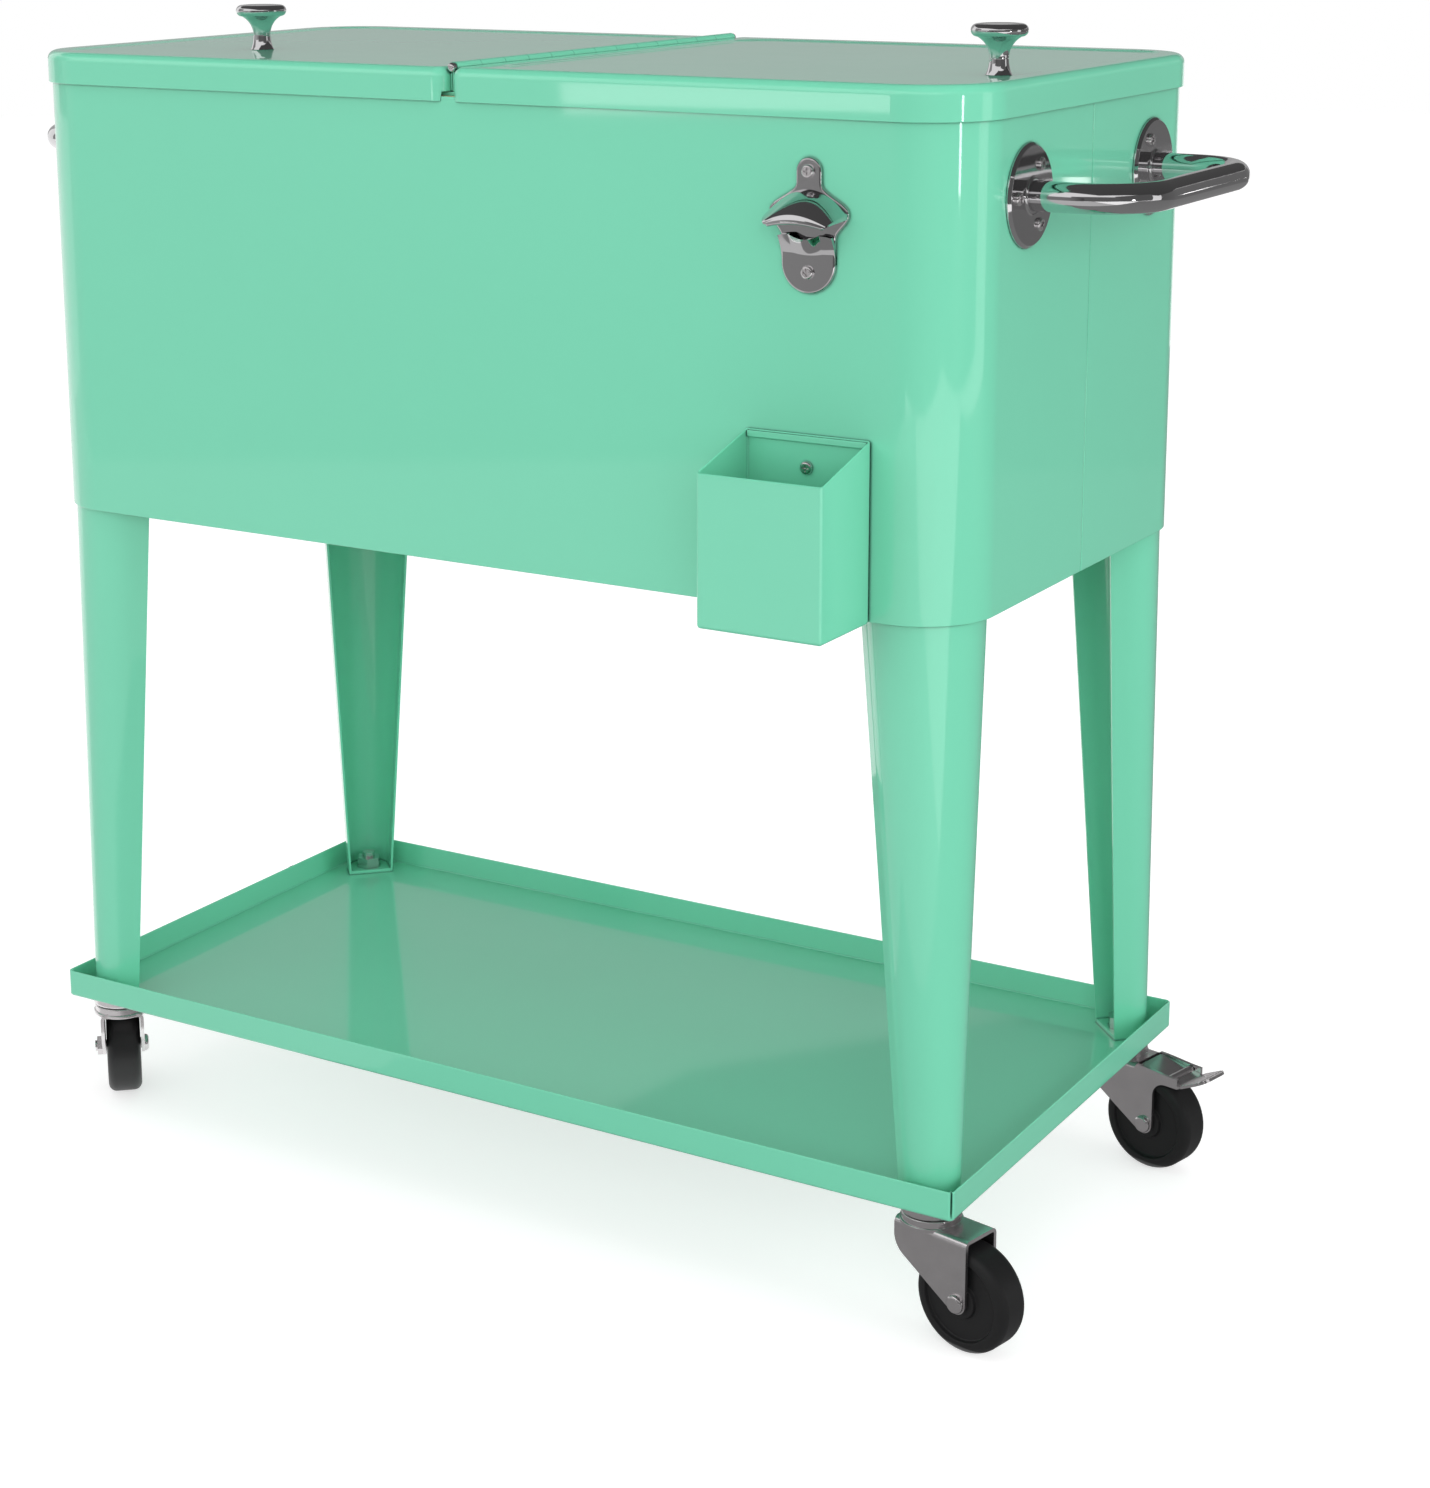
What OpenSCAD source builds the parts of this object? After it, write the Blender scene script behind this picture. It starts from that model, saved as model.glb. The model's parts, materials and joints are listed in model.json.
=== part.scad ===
// Rolling patio cooler: an insulated steel tub with two hinged half lids, carried on four
// folded legs over a shelf with swivel casters. Millimetres, +Z up, front towards -Y.

/* [Tub] */
// Length of the tub over its steel skin
tub_l = 706; // [640:1:800]
// Depth of the tub over its steel skin
tub_d = 357; // [330:1:420]
// Height of the steel skin
tub_h = 296; // [250:1:340]
// Outside radius of the upright corners
corner_r = 47.5; // [44:0.5:56]
// Thickness of the painted steel sheet
sheet_t = 1.2; // [0.8:0.1:1.6]
// Height of the skin's lip below the base panel
lip_h = 3.2; // [2.5:0.1:5]
// Thickness of the side insulation
wall_foam = 22; // [16:1:28]
// Thickness of the insulation under the liner
floor_foam = 25; // [18:1:32]
// Thickness of the moulded liner
liner_t = 2.5; // [2:0.1:3.5]
// Inside corner radius of the liner
liner_r = 25; // [18:1:32]

/* [Lids] */
// Overhang of the lids past the skin
lid_over = 2.5; // [2:0.1:4]
// Thickness of the lid sheet
lid_t = 1; // [0.8:0.1:1.2]
// Height of the lid skirt
skirt_h = 21; // [19:0.5:24]
// Thickness of the insulated panel inside a lid
lid_core = 13.4; // [12.6:0.1:17]
// Rounding along the top edges of a lid
lid_edge_r = 6; // [6:0.5:7]
// Corner radius at the inner end of a lid
lid_inner_r = 9; // [8:0.5:14]
// Half of the slot between the two lids
lid_gap = 2.2; // [2.2:0.1:2.8]
// Depth of the pressed field in a lid
field_depth = 0.8; // [0.5:0.1:1]
// Width of the flat border round the pressed field
field_border = 22; // [20:0.5:28]
// Depth of the plug that a lid lowers into the tub
plug_h = 9; // [6:0.5:12]

/* [Hinge] */
// Radius of the hinge pin
pin_r = 1.8; // [1.5:0.1:2]
// Outside radius of the hinge barrel
barrel_r = 3.4; // [3.2:0.1:3.5]
// Depth of the hinge axis below the top of the lids
hinge_sink = 0.5; // [0:0.1:0.5]
// Thickness of a hinge leaf
leaf_t = 1.2; // [0.8:0.1:1.2]
// Number of knuckle triples along the barrel
knuckle_sets = 4; // [3:1:6]

/* [Knobs] */
// Radius of the knob cap
knob_r = 17; // [14:0.5:20]
// Height of a knob
knob_h = 30; // [26:0.5:34]
// Distance of the left knob from its lid's outer end
left_knob_in = 134.5; // [100:0.5:165]
// Distance of the right knob from its lid's outer end
right_knob_in = 31.5; // [31:0.5:100]
// Distance of the left knob in front of the middle
left_knob_y = 84; // [60:1:100]
// Distance of the right knob in front of the middle
right_knob_y = 76; // [40:1:90]

/* [Handles] */
// Radius of the handle tube
tube_r = 9; // [8:0.25:10]
// Wall of the handle tube
tube_t = 1.5; // [1:0.1:2]
// Reach of the tube's centre line from the skin
handle_reach = 68; // [60:1:76]
// Half of the spacing of the handle's two ends
handle_half = 95; // [80:1:100]
// Bend radius of the tube's centre line
bend_r = 38; // [30:1:44]
// Height of the handle below the top of the skin
handle_drop = 50; // [42:1:80]
// Radius of the handle flanges
flange_r = 31; // [29:0.5:34]
// Thickness of the handle flanges at the rim
flange_t = 3; // [2.5:0.1:4]

/* [Opener and cap catcher] */
// Distance of the opener and the catcher from the tub's right end
opener_in = 99; // [95:1:123]
// Height of the opener's top below the top of the skin
opener_drop = 25; // [20:1:60]
// Height of the opener
opener_h = 79; // [74:0.5:86]
// Width of the opener's lower plate
opener_w = 37.5; // [34:0.5:40]
// Width of the catcher
catcher_w = 83; // [76:1:92]
// Depth of the catcher
catcher_d = 60; // [50:1:70]
// Height of the catcher's back wall
catcher_h = 110; // [98:1:120]
// Fall of the catcher's rim from back to front
catcher_fall = 17; // [8:1:22]
// Reach of the catcher below the skin
catcher_low = 1; // [0:0.5:6]
// Travel of the catcher off its screws
catcher_lift = 9; // [8.5:0.1:10]

/* [Legs and shelf] */
// Height of the legs
leg_h = 371; // [330:1:420]
// Thickness of the leg sheet
leg_t = 1.6; // [1.2:0.1:2]
// Nose radius at the top of a leg
leg_top_r = 37; // [32:0.5:38]
// Depth of a leg's sides at the top
leg_top_side = 11; // [8:1:20]
// Nose radius at the foot of a leg
leg_foot_r = 17.5; // [16:0.5:20]
// Depth of a leg's sides at the foot
leg_foot_side = 12; // [8:1:16]
// Gap between a leg's nose and the inside of the skin
leg_clear = 0.8; // [0.4:0.1:3]
// Projection of the shelf past the skin at each end
shelf_over = 3.5; // [-6:0.5:10]
// Projection of the shelf past the skin at the front and back
shelf_out = -0.5; // [-6:0.5:6]
// Height of the shelf rim
rim_h = 19.5; // [16:0.5:26]
// Corner radius of the shelf
shelf_r = 3.5; // [3:0.5:6]
// Inset of the caster stems from the shelf's edges
stem_inset = 26.5; // [25:0.5:30]

/* [Casters] */
// Wheel diameter
wheel_d = 69; // [62:0.5:74]
// Wheel width
wheel_w = 24.5; // [20:0.5:26]
// Trail of the axle behind the stem
trail = 31.5; // [30:0.5:38]
// Radius of the caster stem
stem_r = 5; // [4:0.1:6]
// Radius of the bearing cup
cup_r = 20; // [19:0.25:21]
// Height of the bearing cup
cup_h = 7.6; // [6:0.1:10]
// Thickness of the fork sheet
fork_t = 2.5; // [2:0.1:3]
// Radius of the axle bolt
axle_r = 4; // [3:0.1:4.5]
// Direction that each caster trails in, from +X (front left, front right, rear left, rear right)
headings = [132, -12, 188, -13];

/* [Drain] */
// Radius of the drain spout
spout_r = 10; // [9:0.25:11]
// Radius of the drain bore
drain_r = 6.5; // [5:0.25:7]
// Reach of the spout from the skin
spout_reach = 14; // [10:1:20]

/* [Hidden] */
$fn = 64;

eps = 0.01;
run_gap = 0.05;      // radial clearance of pins and shafts
part_gap = 0.3;      // clearance between pieces that move past each other
swivel_gap = 0.4;    // between the bearing cup and the fork's race
crown_gap = 5.5;     // over the wheel, under the fork's crown
race_h = 4.5;        // height of the fork's bearing race
race_wall = 4;

// Heights, from the floor up
crown_z = wheel_d + crown_gap;
cup_z = crown_z + fork_t + race_h + swivel_gap;
shelf_z = cup_z + cup_h;
foot_z = shelf_z + sheet_t;
base_z = foot_z + leg_h;
skin_z = base_z - lip_h;
skin_top = skin_z + tub_h;
foam_z = base_z + sheet_t;
liner_z = foam_z + floor_foam;
rim_top = skin_top + liner_t;
seal_gap = 0.4;
lid_top = rim_top + seal_gap + lid_core + field_depth + lid_t;
skirt_z = lid_top - skirt_h;
handle_z = skin_top - handle_drop;

// Plan sizes
lid_l = tub_l + 2 * lid_over;
lid_d = tub_d + 2 * lid_over;
left_knob_x = lid_l / 2 - left_knob_in;
right_knob_x = lid_l / 2 - right_knob_in;
bar_x = tub_l / 2 - opener_in;
shelf_l = tub_l + 2 * shelf_over;
shelf_d = tub_d + 2 * shelf_out;
liner_wall = sheet_t + wall_foam;
cavity_l = tub_l - 2 * (liner_wall + liner_t);
cavity_d = tub_d - 2 * (liner_wall + liner_t);
stem_x = shelf_l / 2 - stem_inset;
stem_y = shelf_d / 2 - stem_inset;
leg_in = corner_r - (corner_r - sheet_t - leg_clear - leg_top_r) / sqrt(2);
leg_x = tub_l / 2 - leg_in;
leg_y = tub_d / 2 - leg_in;

// The catcher reaches forward past the lids, so the whole body stands back by half of that
// reach and the origin stays under the middle of the whole outline.
catcher_reach = tub_d / 2 + part_gap + catcher_d;
centre_shift = (catcher_reach - lid_d / 2) / 2;

// Hinge
hinge_l = lid_d - 2 * lid_inner_r;
hinge_z = lid_top - hinge_sink;
knuckle_gap = 0.3;
knuckle_count = 3 * knuckle_sets + 1;
knuckle_l = hinge_l / knuckle_count;
bar_web = 1.2;       // upright that carries the fixed knuckles
leaf_lift = 0.8;     // between the bar and the leaves
bar_ledge = 28;      // half width of the ledge under the lids' inner ends
bar_box = 12;        // half width of the bar's box section
bar_drop = 14;
plug_gap = 5;        // between a lid's plug and the liner or the ledge

// Screws and bolts
screw_r = 2;
screw_head_r = 4;
screw_head_h = 2.2;
screw_len = 14;
knob_screw_head = 3;
bolt_r = 3;
bolt_head_r = 5.5;
bolt_head_h = 4;
nut_af = 17;
nut_h = 8;
stem_over = 4;       // thread left above the nut
leg_bolt_side = 15;  // leg bolts, either side of the nose centre
foot_plate_t = 3;
head_plate_t = 2;

// Handle
screw_circle = flange_r - 10.5;

// Opener
opener_t = 2.5;
opener_tab = 8.2;
opener_hood = 22.5;
opener_hood_w = 52;
opener_top = skin_top - opener_drop;
opener_hole = 8;
opener_low_hole = 12.5;
catcher_z = skin_z - catcher_low;
catcher_top = catcher_z + catcher_h;
catcher_screw_z = [catcher_top - 20, catcher_top - 66];
keyhole_r = 4.8;
hem_h = 4;

// Casters: places are [x side, y side], in the order of the headings
CORNERS = [[-1, -1], [1, -1], [-1, 1], [1, 1]];
fork_in = wheel_w / 2 + 0.75;
fork_out = fork_in + fork_t;
axle_z = wheel_d / 2;
fork_end_r = 7;
fork_front = 17;
fork_nose_r = 16;    // curve of a cheek's front edge, below the crown
fork_nose_drop = 8;
fork_tail = trail + fork_end_r;
brake_tail = trail + 27;
brake_top = crown_z + 0.5;
lobe_z = crown_z - 6.5;
lobe_r = 10;
pedal_u = trail + 19;
pedal_z = crown_z - 3;
pedal_t = 2;
pedal_tilt = 10;
pedal_lip = 21;      // length of the pedal's toe
pedal_rise = 25;     // upward slope of the toe
shoe_gap = 0.6;      // left between the brake shoe and the wheel, pedal down
shoe_dip = 0.9;      // how much nearer the tilted shoe comes than an upright one
pedal_pin_r = 2;
pedal_start = cup_r + 6;

// Drain, low in the left end
spout_flange = 4;
drain_z = liner_z + liner_t + spout_r + spout_flange + 0.5;

// ---- Shared shapes ----

module rounded_rect(l, d, r) {
    square([l - 2 * r, d], center = true);
    square([l, d - 2 * r], center = true);
    for (sx = [-1, 1], sy = [-1, 1])
        translate([sx * (l / 2 - r), sy * (d / 2 - r)]) circle(r);
}

module prism(l, d, r, z0, z1) {
    translate([0, 0, z0]) linear_extrude(z1 - z0) rounded_rect(l, d, r);
}

// Section from an axis out to w, h high, with its upper corner rounded
module edge_section(w, h, r) {
    square([w - r, h]);
    square([w, h - r]);
    intersection() {
        translate([w - r, h - r]) circle(r);
        square([w + 1, h + 1]);
    }
}

// Slab from x0 to x1, d deep, with corner radii ra at x0 and rb at x1 and a rounded top edge
module soft_slab(x0, x1, d, ra, rb, h, re) {
    linear_extrude(h) {
        polygon([[x0 + ra, -d / 2 + re], [x1 - rb, -d / 2 + re],
            [x1 - rb, d / 2 - re], [x0 + ra, d / 2 - re]]);
    }
    translate([x0 + ra, 0, 0]) side_run(ra, d, h, re, 180);
    translate([x1 - rb, 0, 0]) side_run(rb, d, h, re, 0);
    for (sy = [-1, 1])
        translate([x0 + ra, 0, 0]) rotate([90, 0, 90]) linear_extrude(x1 - rb - x0 - ra)
            mirror([sy > 0 ? 0 : 1, 0]) translate([d / 2 - re - eps, 0])
                edge_section(re + eps, h, re);
}

// End of a slab: a straight run and two round corners of radius r, turned by a
module side_run(r, d, h, re, a) {
    rotate([0, 0, a]) {
        translate([0, d / 2 - r, 0]) rotate([90, 0, 0]) linear_extrude(d - 2 * r)
            edge_section(r, h, re);
        translate([0, d / 2 - r, 0]) rotate_extrude(angle = 90) edge_section(r, h, re);
        translate([0, r - d / 2, 0]) rotate([0, 0, -90]) rotate_extrude(angle = 90)
            edge_section(r, h, re);
    }
}

module hex_prism(af, h) {
    cylinder(r = af / sqrt(3), h = h, $fn = 6);
}

// Pan head screw: head on the XY plane, shank down
module pan_screw(len) {
    cylinder(r = screw_r, h = len + eps);
    translate([0, 0, len]) difference() {
        rotate_extrude() edge_section(screw_head_r, screw_head_h, 1.4);
        for (a = [0, 90]) rotate([0, 0, a])
            translate([-2.2, -0.45, screw_head_h - 1.2]) cube([4.4, 0.9, 2]);
    }
}

module in_frame() {
    translate([0, centre_shift, 0]) children();
}

// ---- Tub ----

module tub_skin() {
    color("aquamarine") difference() {
        prism(tub_l, tub_d, corner_r, skin_z, skin_top);
        prism(tub_l - 2 * sheet_t, tub_d - 2 * sheet_t, corner_r - sheet_t,
            skin_z - 1, skin_top + 1);
        translate([tub_l / 2 - 2 * sheet_t, -0.25, skin_z - 1])
            cube([4 * sheet_t, 0.5, tub_h + 2]);
        translate([tub_l / 2 - 2 * sheet_t, -2, skin_z - 1]) cube([4 * sheet_t, 4, 3]);
        wall_holes();
    }
}

// Every hole that screws and the drain make in the tub's walls
module wall_holes() {
    for (s = [-1, 1]) handle_screw_places(s) translate([0, 0, -screw_len - 1])
        cylinder(r = screw_r + run_gap, h = screw_len + flange_t + 3);
    opener_screw_places() translate([0, 0, -screw_len - 1])
        cylinder(r = screw_r + run_gap, h = screw_len + 4);
    catcher_screw_places() translate([0, 0, -screw_len - 1])
        cylinder(r = screw_r + run_gap, h = screw_len + 4);
    drain_place() translate([0, 0, -liner_wall - liner_t - 4])
        cylinder(r = spout_r + run_gap, h = liner_wall + liner_t + 8);
}

module tub_base() {
    color("aquamarine") difference() {
        prism(tub_l - 2 * sheet_t, tub_d - 2 * sheet_t, corner_r - sheet_t, base_z, foam_z);
        leg_bolt_places() translate([0, 0, -1]) cylinder(r = bolt_r + run_gap, h = 8);
    }
}

module tub_foam() {
    color("wheat") difference() {
        prism(tub_l - 2 * sheet_t, tub_d - 2 * sheet_t, corner_r - sheet_t, foam_z, skin_top);
        prism(cavity_l + 2 * liner_t, cavity_d + 2 * liner_t, liner_r + liner_t,
            liner_z, skin_top + 1);
        wall_holes();
        leg_bolt_places() cylinder(r = bolt_r + 2, h = sheet_t + 10);
    }
}

module tub_liner() {
    color("white") difference() {
        prism(cavity_l + 2 * liner_t, cavity_d + 2 * liner_t, liner_r + liner_t,
            liner_z, skin_top);
        prism(cavity_l, cavity_d, liner_r, liner_z + liner_t, skin_top + 1);
        drain_place() translate([0, 0, -liner_wall - liner_t - 4])
            cylinder(r = spout_r + run_gap, h = liner_wall + liner_t);
    }
}

// Flat rim that closes the top of the insulated wall
module tub_rim() {
    color("white") difference() {
        prism(tub_l - 1, tub_d - 1, corner_r - 0.5, skin_top, rim_top);
        prism(cavity_l, cavity_d, liner_r, skin_top - 1, rim_top + 1);
        bar_notches();
    }
}

// The bar's box section passes through the liner's rim at the front and back
module bar_notches() {
    translate([-bar_box - part_gap, -tub_d / 2, skin_top])
        cube([2 * (bar_box + part_gap), tub_d, liner_t + 1]);
}

// ---- Centre bar and hinge ----

module centre_bar() {
    bar_d = cavity_d - 2 * part_gap;
    color("aquamarine") difference() {
        union() {
            translate([-bar_box, -bar_d / 2, skin_top - bar_drop])
                cube([2 * bar_box, bar_d, bar_drop]);
            translate([-bar_box, -tub_d / 2 + 6, skin_top])
                cube([2 * bar_box, tub_d - 12, liner_t]);
            translate([-bar_ledge, -bar_d / 2, rim_top - sheet_t])
                cube([2 * bar_ledge, bar_d, sheet_t]);
            for (i = [0 : 3 : knuckle_count - 1]) knuckle(i) {
                translate([-bar_web / 2, 0, rim_top - eps])
                    cube([bar_web, knuckle_l - knuckle_gap, hinge_z - rim_top]);
            }
        }
        translate([-bar_box + 2, -bar_d / 2 - 1, skin_top - bar_drop + 2])
            cube([2 * bar_box - 4, bar_d + 2, bar_drop - 4]);
        pin_bore();
    }
}

module pin_bore() {
    translate([0, -lid_d / 2, hinge_z]) rotate([-90, 0, 0])
        cylinder(r = pin_r + run_gap, h = lid_d);
}

// The knuckle at place i along the barrel, with children starting at its front end
module knuckle(i) {
    translate([0, i * knuckle_l - hinge_l / 2 + knuckle_gap / 2, 0]) {
        translate([0, 0, hinge_z]) rotate([-90, 0, 0])
            cylinder(r = barrel_r, h = knuckle_l - knuckle_gap);
        children();
    }
}

module hinge_pin() {
    head_r = barrel_r - 0.4;
    color("silver") translate([0, 0, hinge_z]) rotate([-90, 0, 0]) {
        translate([0, 0, -hinge_l / 2 - 3]) cylinder(r = pin_r, h = hinge_l + 6);
        for (s = [0, 1]) mirror([0, 0, s]) translate([0, 0, hinge_l / 2 + 0.5])
            rotate_extrude() edge_section(head_r, 3, 2);
    }
}

// Leaf that hangs in the slot on the end of its lid; side is -1 for the left lid, 1 for the
// right one
module hinge_leaf(side) {
    x0 = side > 0 ? lid_gap - leaf_t : -lid_gap;
    first = side < 0 ? 1 : 2;
    plate_top = hinge_z - barrel_r - part_gap;
    color("aquamarine") difference() {
        union() {
            for (i = [first : 3 : knuckle_count - 1]) knuckle(i) {
                translate([x0, 0, plate_top - eps])
                    cube([leaf_t, knuckle_l - knuckle_gap, barrel_r]);
            }
            translate([x0, -hinge_l / 2, rim_top + leaf_lift])
                cube([leaf_t, hinge_l, plate_top - rim_top - leaf_lift]);
        }
        pin_bore();
    }
}

module left_hinge_leaf() { hinge_leaf(-1); }
module right_hinge_leaf() { hinge_leaf(1); }

// ---- Lids ----

// Plan of the pressed field of the right lid, grown by g
module field_plan(g) {
    x0 = lid_gap + field_border - g;
    x1 = lid_l / 2 - field_border + g;
    translate([(x0 + x1) / 2, 0])
        rounded_rect(x1 - x0, lid_d - 2 * field_border + 2 * g, 20 + g);
}

module half_lid() {
    inner_top = skirt_h - lid_t;
    translate([0, 0, skirt_z]) difference() {
        soft_slab(lid_gap, lid_l / 2, lid_d, lid_inner_r, corner_r + lid_over, skirt_h,
            lid_edge_r);
        difference() {
            translate([0, 0, -1]) soft_slab(lid_gap + lid_t, lid_l / 2 - lid_t,
                lid_d - 2 * lid_t, lid_inner_r - lid_t, corner_r + lid_over - lid_t,
                inner_top + 1, lid_edge_r - lid_t);
            translate([0, 0, inner_top - field_depth]) linear_extrude(field_depth + 1)
                field_plan(lid_t);
        }
        translate([0, 0, skirt_h - field_depth]) linear_extrude(2) field_plan(0);
        // Clear of the tub's rim at the inner end
        translate([0, -tub_d / 2 - part_gap, -1]) cube([lid_gap + lid_inner_r,
            tub_d + 2 * part_gap, rim_top + seal_gap - skirt_z + 1]);
    }
}

module lid_pan(side, knob_x, knob_y) {
    color("aquamarine") difference() {
        if (side > 0) half_lid();
        else mirror([1, 0, 0]) half_lid();
        translate([side * knob_x, -knob_y, skirt_z]) cylinder(r = 2.55, h = skirt_h + 1);
    }
}

module left_lid() { lid_pan(-1, left_knob_x, left_knob_y); }
module right_lid() { lid_pan(1, right_knob_x, right_knob_y); }

// Insulated panel inside a lid: a slab that fills the pan and a plug that enters the tub
module lid_panel(side, knob_x, knob_y) {
    z0 = rim_top + seal_gap;
    x0 = lid_gap + lid_t + 0.5;
    x1 = lid_l / 2 - lid_t - 0.5;
    p0 = bar_ledge + plug_gap;
    p1 = cavity_l / 2 - plug_gap;
    color("white") difference() {
        union() {
            translate([side * (x0 + x1) / 2, 0, z0]) linear_extrude(lid_core - lid_edge_r)
                rounded_rect(x1 - x0, lid_d - 2 * lid_t - 1, lid_inner_r - lid_t);
            translate([side * (x0 + x1) / 2, 0, z0]) linear_extrude(lid_core)
                rounded_rect(x1 - x0 - 2 * lid_edge_r, lid_d - 2 * lid_t - 1 - 2 * lid_edge_r,
                    lid_inner_r - lid_t);
            translate([side * (p0 + p1) / 2, 0, z0 - plug_h]) linear_extrude(plug_h + 1)
                rounded_rect(p1 - p0, cavity_d - 2 * plug_gap, liner_r - plug_gap);
        }
        lid_corner_relief(side);
        translate([side * knob_x, -knob_y, z0 - plug_h - 1])
            cylinder(r = 2.55, h = lid_core + plug_h + 2);
        translate([side * knob_x, -knob_y, z0 - plug_h - 1])
            cylinder(r = 6, h = plug_h + 1 + knob_screw_head);
    }
}

// Trims the panel to the pan's large outer corners
module lid_corner_relief(side) {
    r = corner_r + lid_over - lid_t - 0.5;
    for (sy = [-1, 1]) translate([side * (lid_l / 2 - lid_t - 0.5 - r),
        sy * (lid_d / 2 - lid_t - 0.5 - r), rim_top - 1])
        difference() {
            translate([side > 0 ? 0 : -r - 2, sy > 0 ? 0 : -r - 2, 0])
                cube([r + 2, r + 2, lid_core + 2]);
            translate([0, 0, -1]) cylinder(r = r - lid_edge_r, h = lid_core + 4);
            translate([0, 0, -1]) cylinder(r = r, h = lid_core - lid_edge_r + seal_gap + 2);
        }
}

module left_lid_panel() { lid_panel(-1, left_knob_x, left_knob_y); }
module right_lid_panel() { lid_panel(1, right_knob_x, right_knob_y); }

// Mushroom knob: flared foot, grooved waist, trumpet and round-rimmed cap
module knob(x, y) {
    cap_h = 7.5;
    waist_r = 5.8;
    waist = 9.5;
    groove = 0.6;
    foot_sweep = 21.6;
    sweep = knob_h - cap_h - waist + 1;
    color("silver") translate([x, -y, lid_top - field_depth]) difference() {
        rotate_extrude() {
            square([waist_r - groove, knob_h - 1]);
            difference() {
                square([waist_r + 4, waist]);
                translate([waist_r + foot_sweep, waist]) circle(foot_sweep);
            }
            difference() {
                translate([0, waist + groove]) square([knob_r - 1.5, knob_h - cap_h - waist]);
                translate([waist_r + sweep, waist + groove]) circle(sweep);
            }
            translate([0, knob_h - cap_h]) square([knob_r - cap_h / 2, cap_h]);
            translate([knob_r - cap_h / 2, knob_h - cap_h / 2]) circle(cap_h / 2);
        }
        translate([0, 0, -1]) cylinder(r = 2.5, h = 12);
    }
}

module left_knob() { knob(-left_knob_x, left_knob_y); }
module right_knob() { knob(right_knob_x, right_knob_y); }

module knob_screw(x, y) {
    z0 = rim_top + seal_gap;
    color("silver") translate([x, -y, z0]) {
        rotate_extrude() edge_section(5, knob_screw_head, 1);
        cylinder(r = 2.45, h = lid_top - field_depth + 10 - z0);
    }
}

module left_knob_screw() { knob_screw(-left_knob_x, left_knob_y); }
module right_knob_screw() { knob_screw(right_knob_x, right_knob_y); }

// ---- Handles ----

module tube_path(r) {
    for (s = [-1, 1]) {
        translate([0, s * handle_half, 0]) rotate([0, 90, 0])
            cylinder(r = r, h = handle_reach - bend_r);
        translate([handle_reach - bend_r, s * (handle_half - bend_r), 0])
            rotate([0, 0, s > 0 ? 0 : -90]) rotate_extrude(angle = 90)
                translate([bend_r, 0]) circle(r);
    }
    translate([handle_reach, bend_r - handle_half, 0]) rotate([-90, 0, 0])
        cylinder(r = r, h = 2 * (handle_half - bend_r));
}

// Turns children, made for the right end, to the given end
module at_end(side) {
    rotate([0, 0, side > 0 ? 0 : 180]) translate([tub_l / 2, 0, handle_z]) children();
}

module handle(side) {
    color("silver") at_end(side) difference() {
        tube_path(tube_r);
        tube_path(tube_r - tube_t);
    }
}

module handle_flanges(side) {
    bevel = 1.8;
    color("silver") at_end(side) for (s = [-1, 1]) difference() {
        translate([0, s * handle_half, 0]) rotate([0, 90, 0]) rotate_extrude() {
            square([flange_r, flange_t - bevel]);
            polygon([[0, 0], [flange_r, flange_t - bevel], [flange_r - bevel, flange_t], [0, flange_t]]);
            edge_section(tube_r + 1.6, flange_t + 1.5, 1.4);
        }
        translate([-1, s * handle_half, 0]) rotate([0, 90, 0])
            cylinder(r = tube_r + run_gap, h = 20);
        for (k = [0 : 2]) translate([-1, s * handle_half, 0])
            rotate([k * 120 + (s > 0 ? 0 : 180), 0, 0]) translate([0, screw_circle, 0])
                rotate([0, 90, 0]) cylinder(r = screw_r + run_gap, h = 20);
    }
}

module handle_screw_places(side) {
    at_end(side) for (s = [-1, 1], k = [0 : 2]) translate([0, s * handle_half, 0])
        rotate([k * 120 + (s > 0 ? 0 : 180), 0, 0]) translate([0, screw_circle, 0])
            rotate([0, 90, 0]) children();
}

module handle_screws(side) {
    color("silver") handle_screw_places(side) translate([0, 0, -screw_len + flange_t])
        pan_screw(screw_len);
}

module left_handle() { handle(-1); }
module left_handle_flanges() { handle_flanges(-1); }
module left_handle_screws() { handle_screws(-1); }
module right_handle() { handle(1); }
module right_handle_flanges() { handle_flanges(1); }
module right_handle_screws() { handle_screws(1); }

// ---- Bottle opener ----

// Puts children on the tub's front, x right of the middle and z high, facing forward
module on_front(x, z) {
    translate([x, -tub_d / 2, z]) rotate([90, 0, 0]) children();
}

module opener_screw_places() {
    for (z = [opener_top - opener_hole, opener_top - opener_h + opener_low_hole])
        on_front(bar_x, z) children();
}

// Outline of the back plate, its top at y = 0
module opener_outline() {
    low_r = opener_w / 2;
    translate([0, -opener_tab]) circle(opener_tab);
    translate([-opener_tab, -24]) square([2 * opener_tab, 24 - opener_tab]);
    wide = opener_hood_w / 2;
    polygon([[-opener_tab, -17], [opener_tab, -17], [wide, -30], [wide - 2, -38], [low_r, -48],
        [-low_r, -48], [2 - wide, -38], [-wide, -30]]);
    translate([-low_r, low_r - opener_h]) square([opener_w, opener_h - low_r - 47]);
    translate([0, low_r - opener_h]) circle(low_r);
}

// Solid wedge under the hood's outer surface
module hood_block() {
    hull() {
        translate([-13, -19.5, 0]) cube([26, 1, opener_t]);
        translate([-opener_hood_w / 2, -32, 0]) cube([opener_hood_w, 2, 1.5]);
        for (sx = [-1, 1]) translate([sx * 17, -34, opener_hood - 4]) rotate([0, 0, 0])
            cylinder(r = 4, h = 4, $fn = 32);
        translate([-10, -29, opener_hood - 6]) cube([20, 1, 4]);
    }
}

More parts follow.
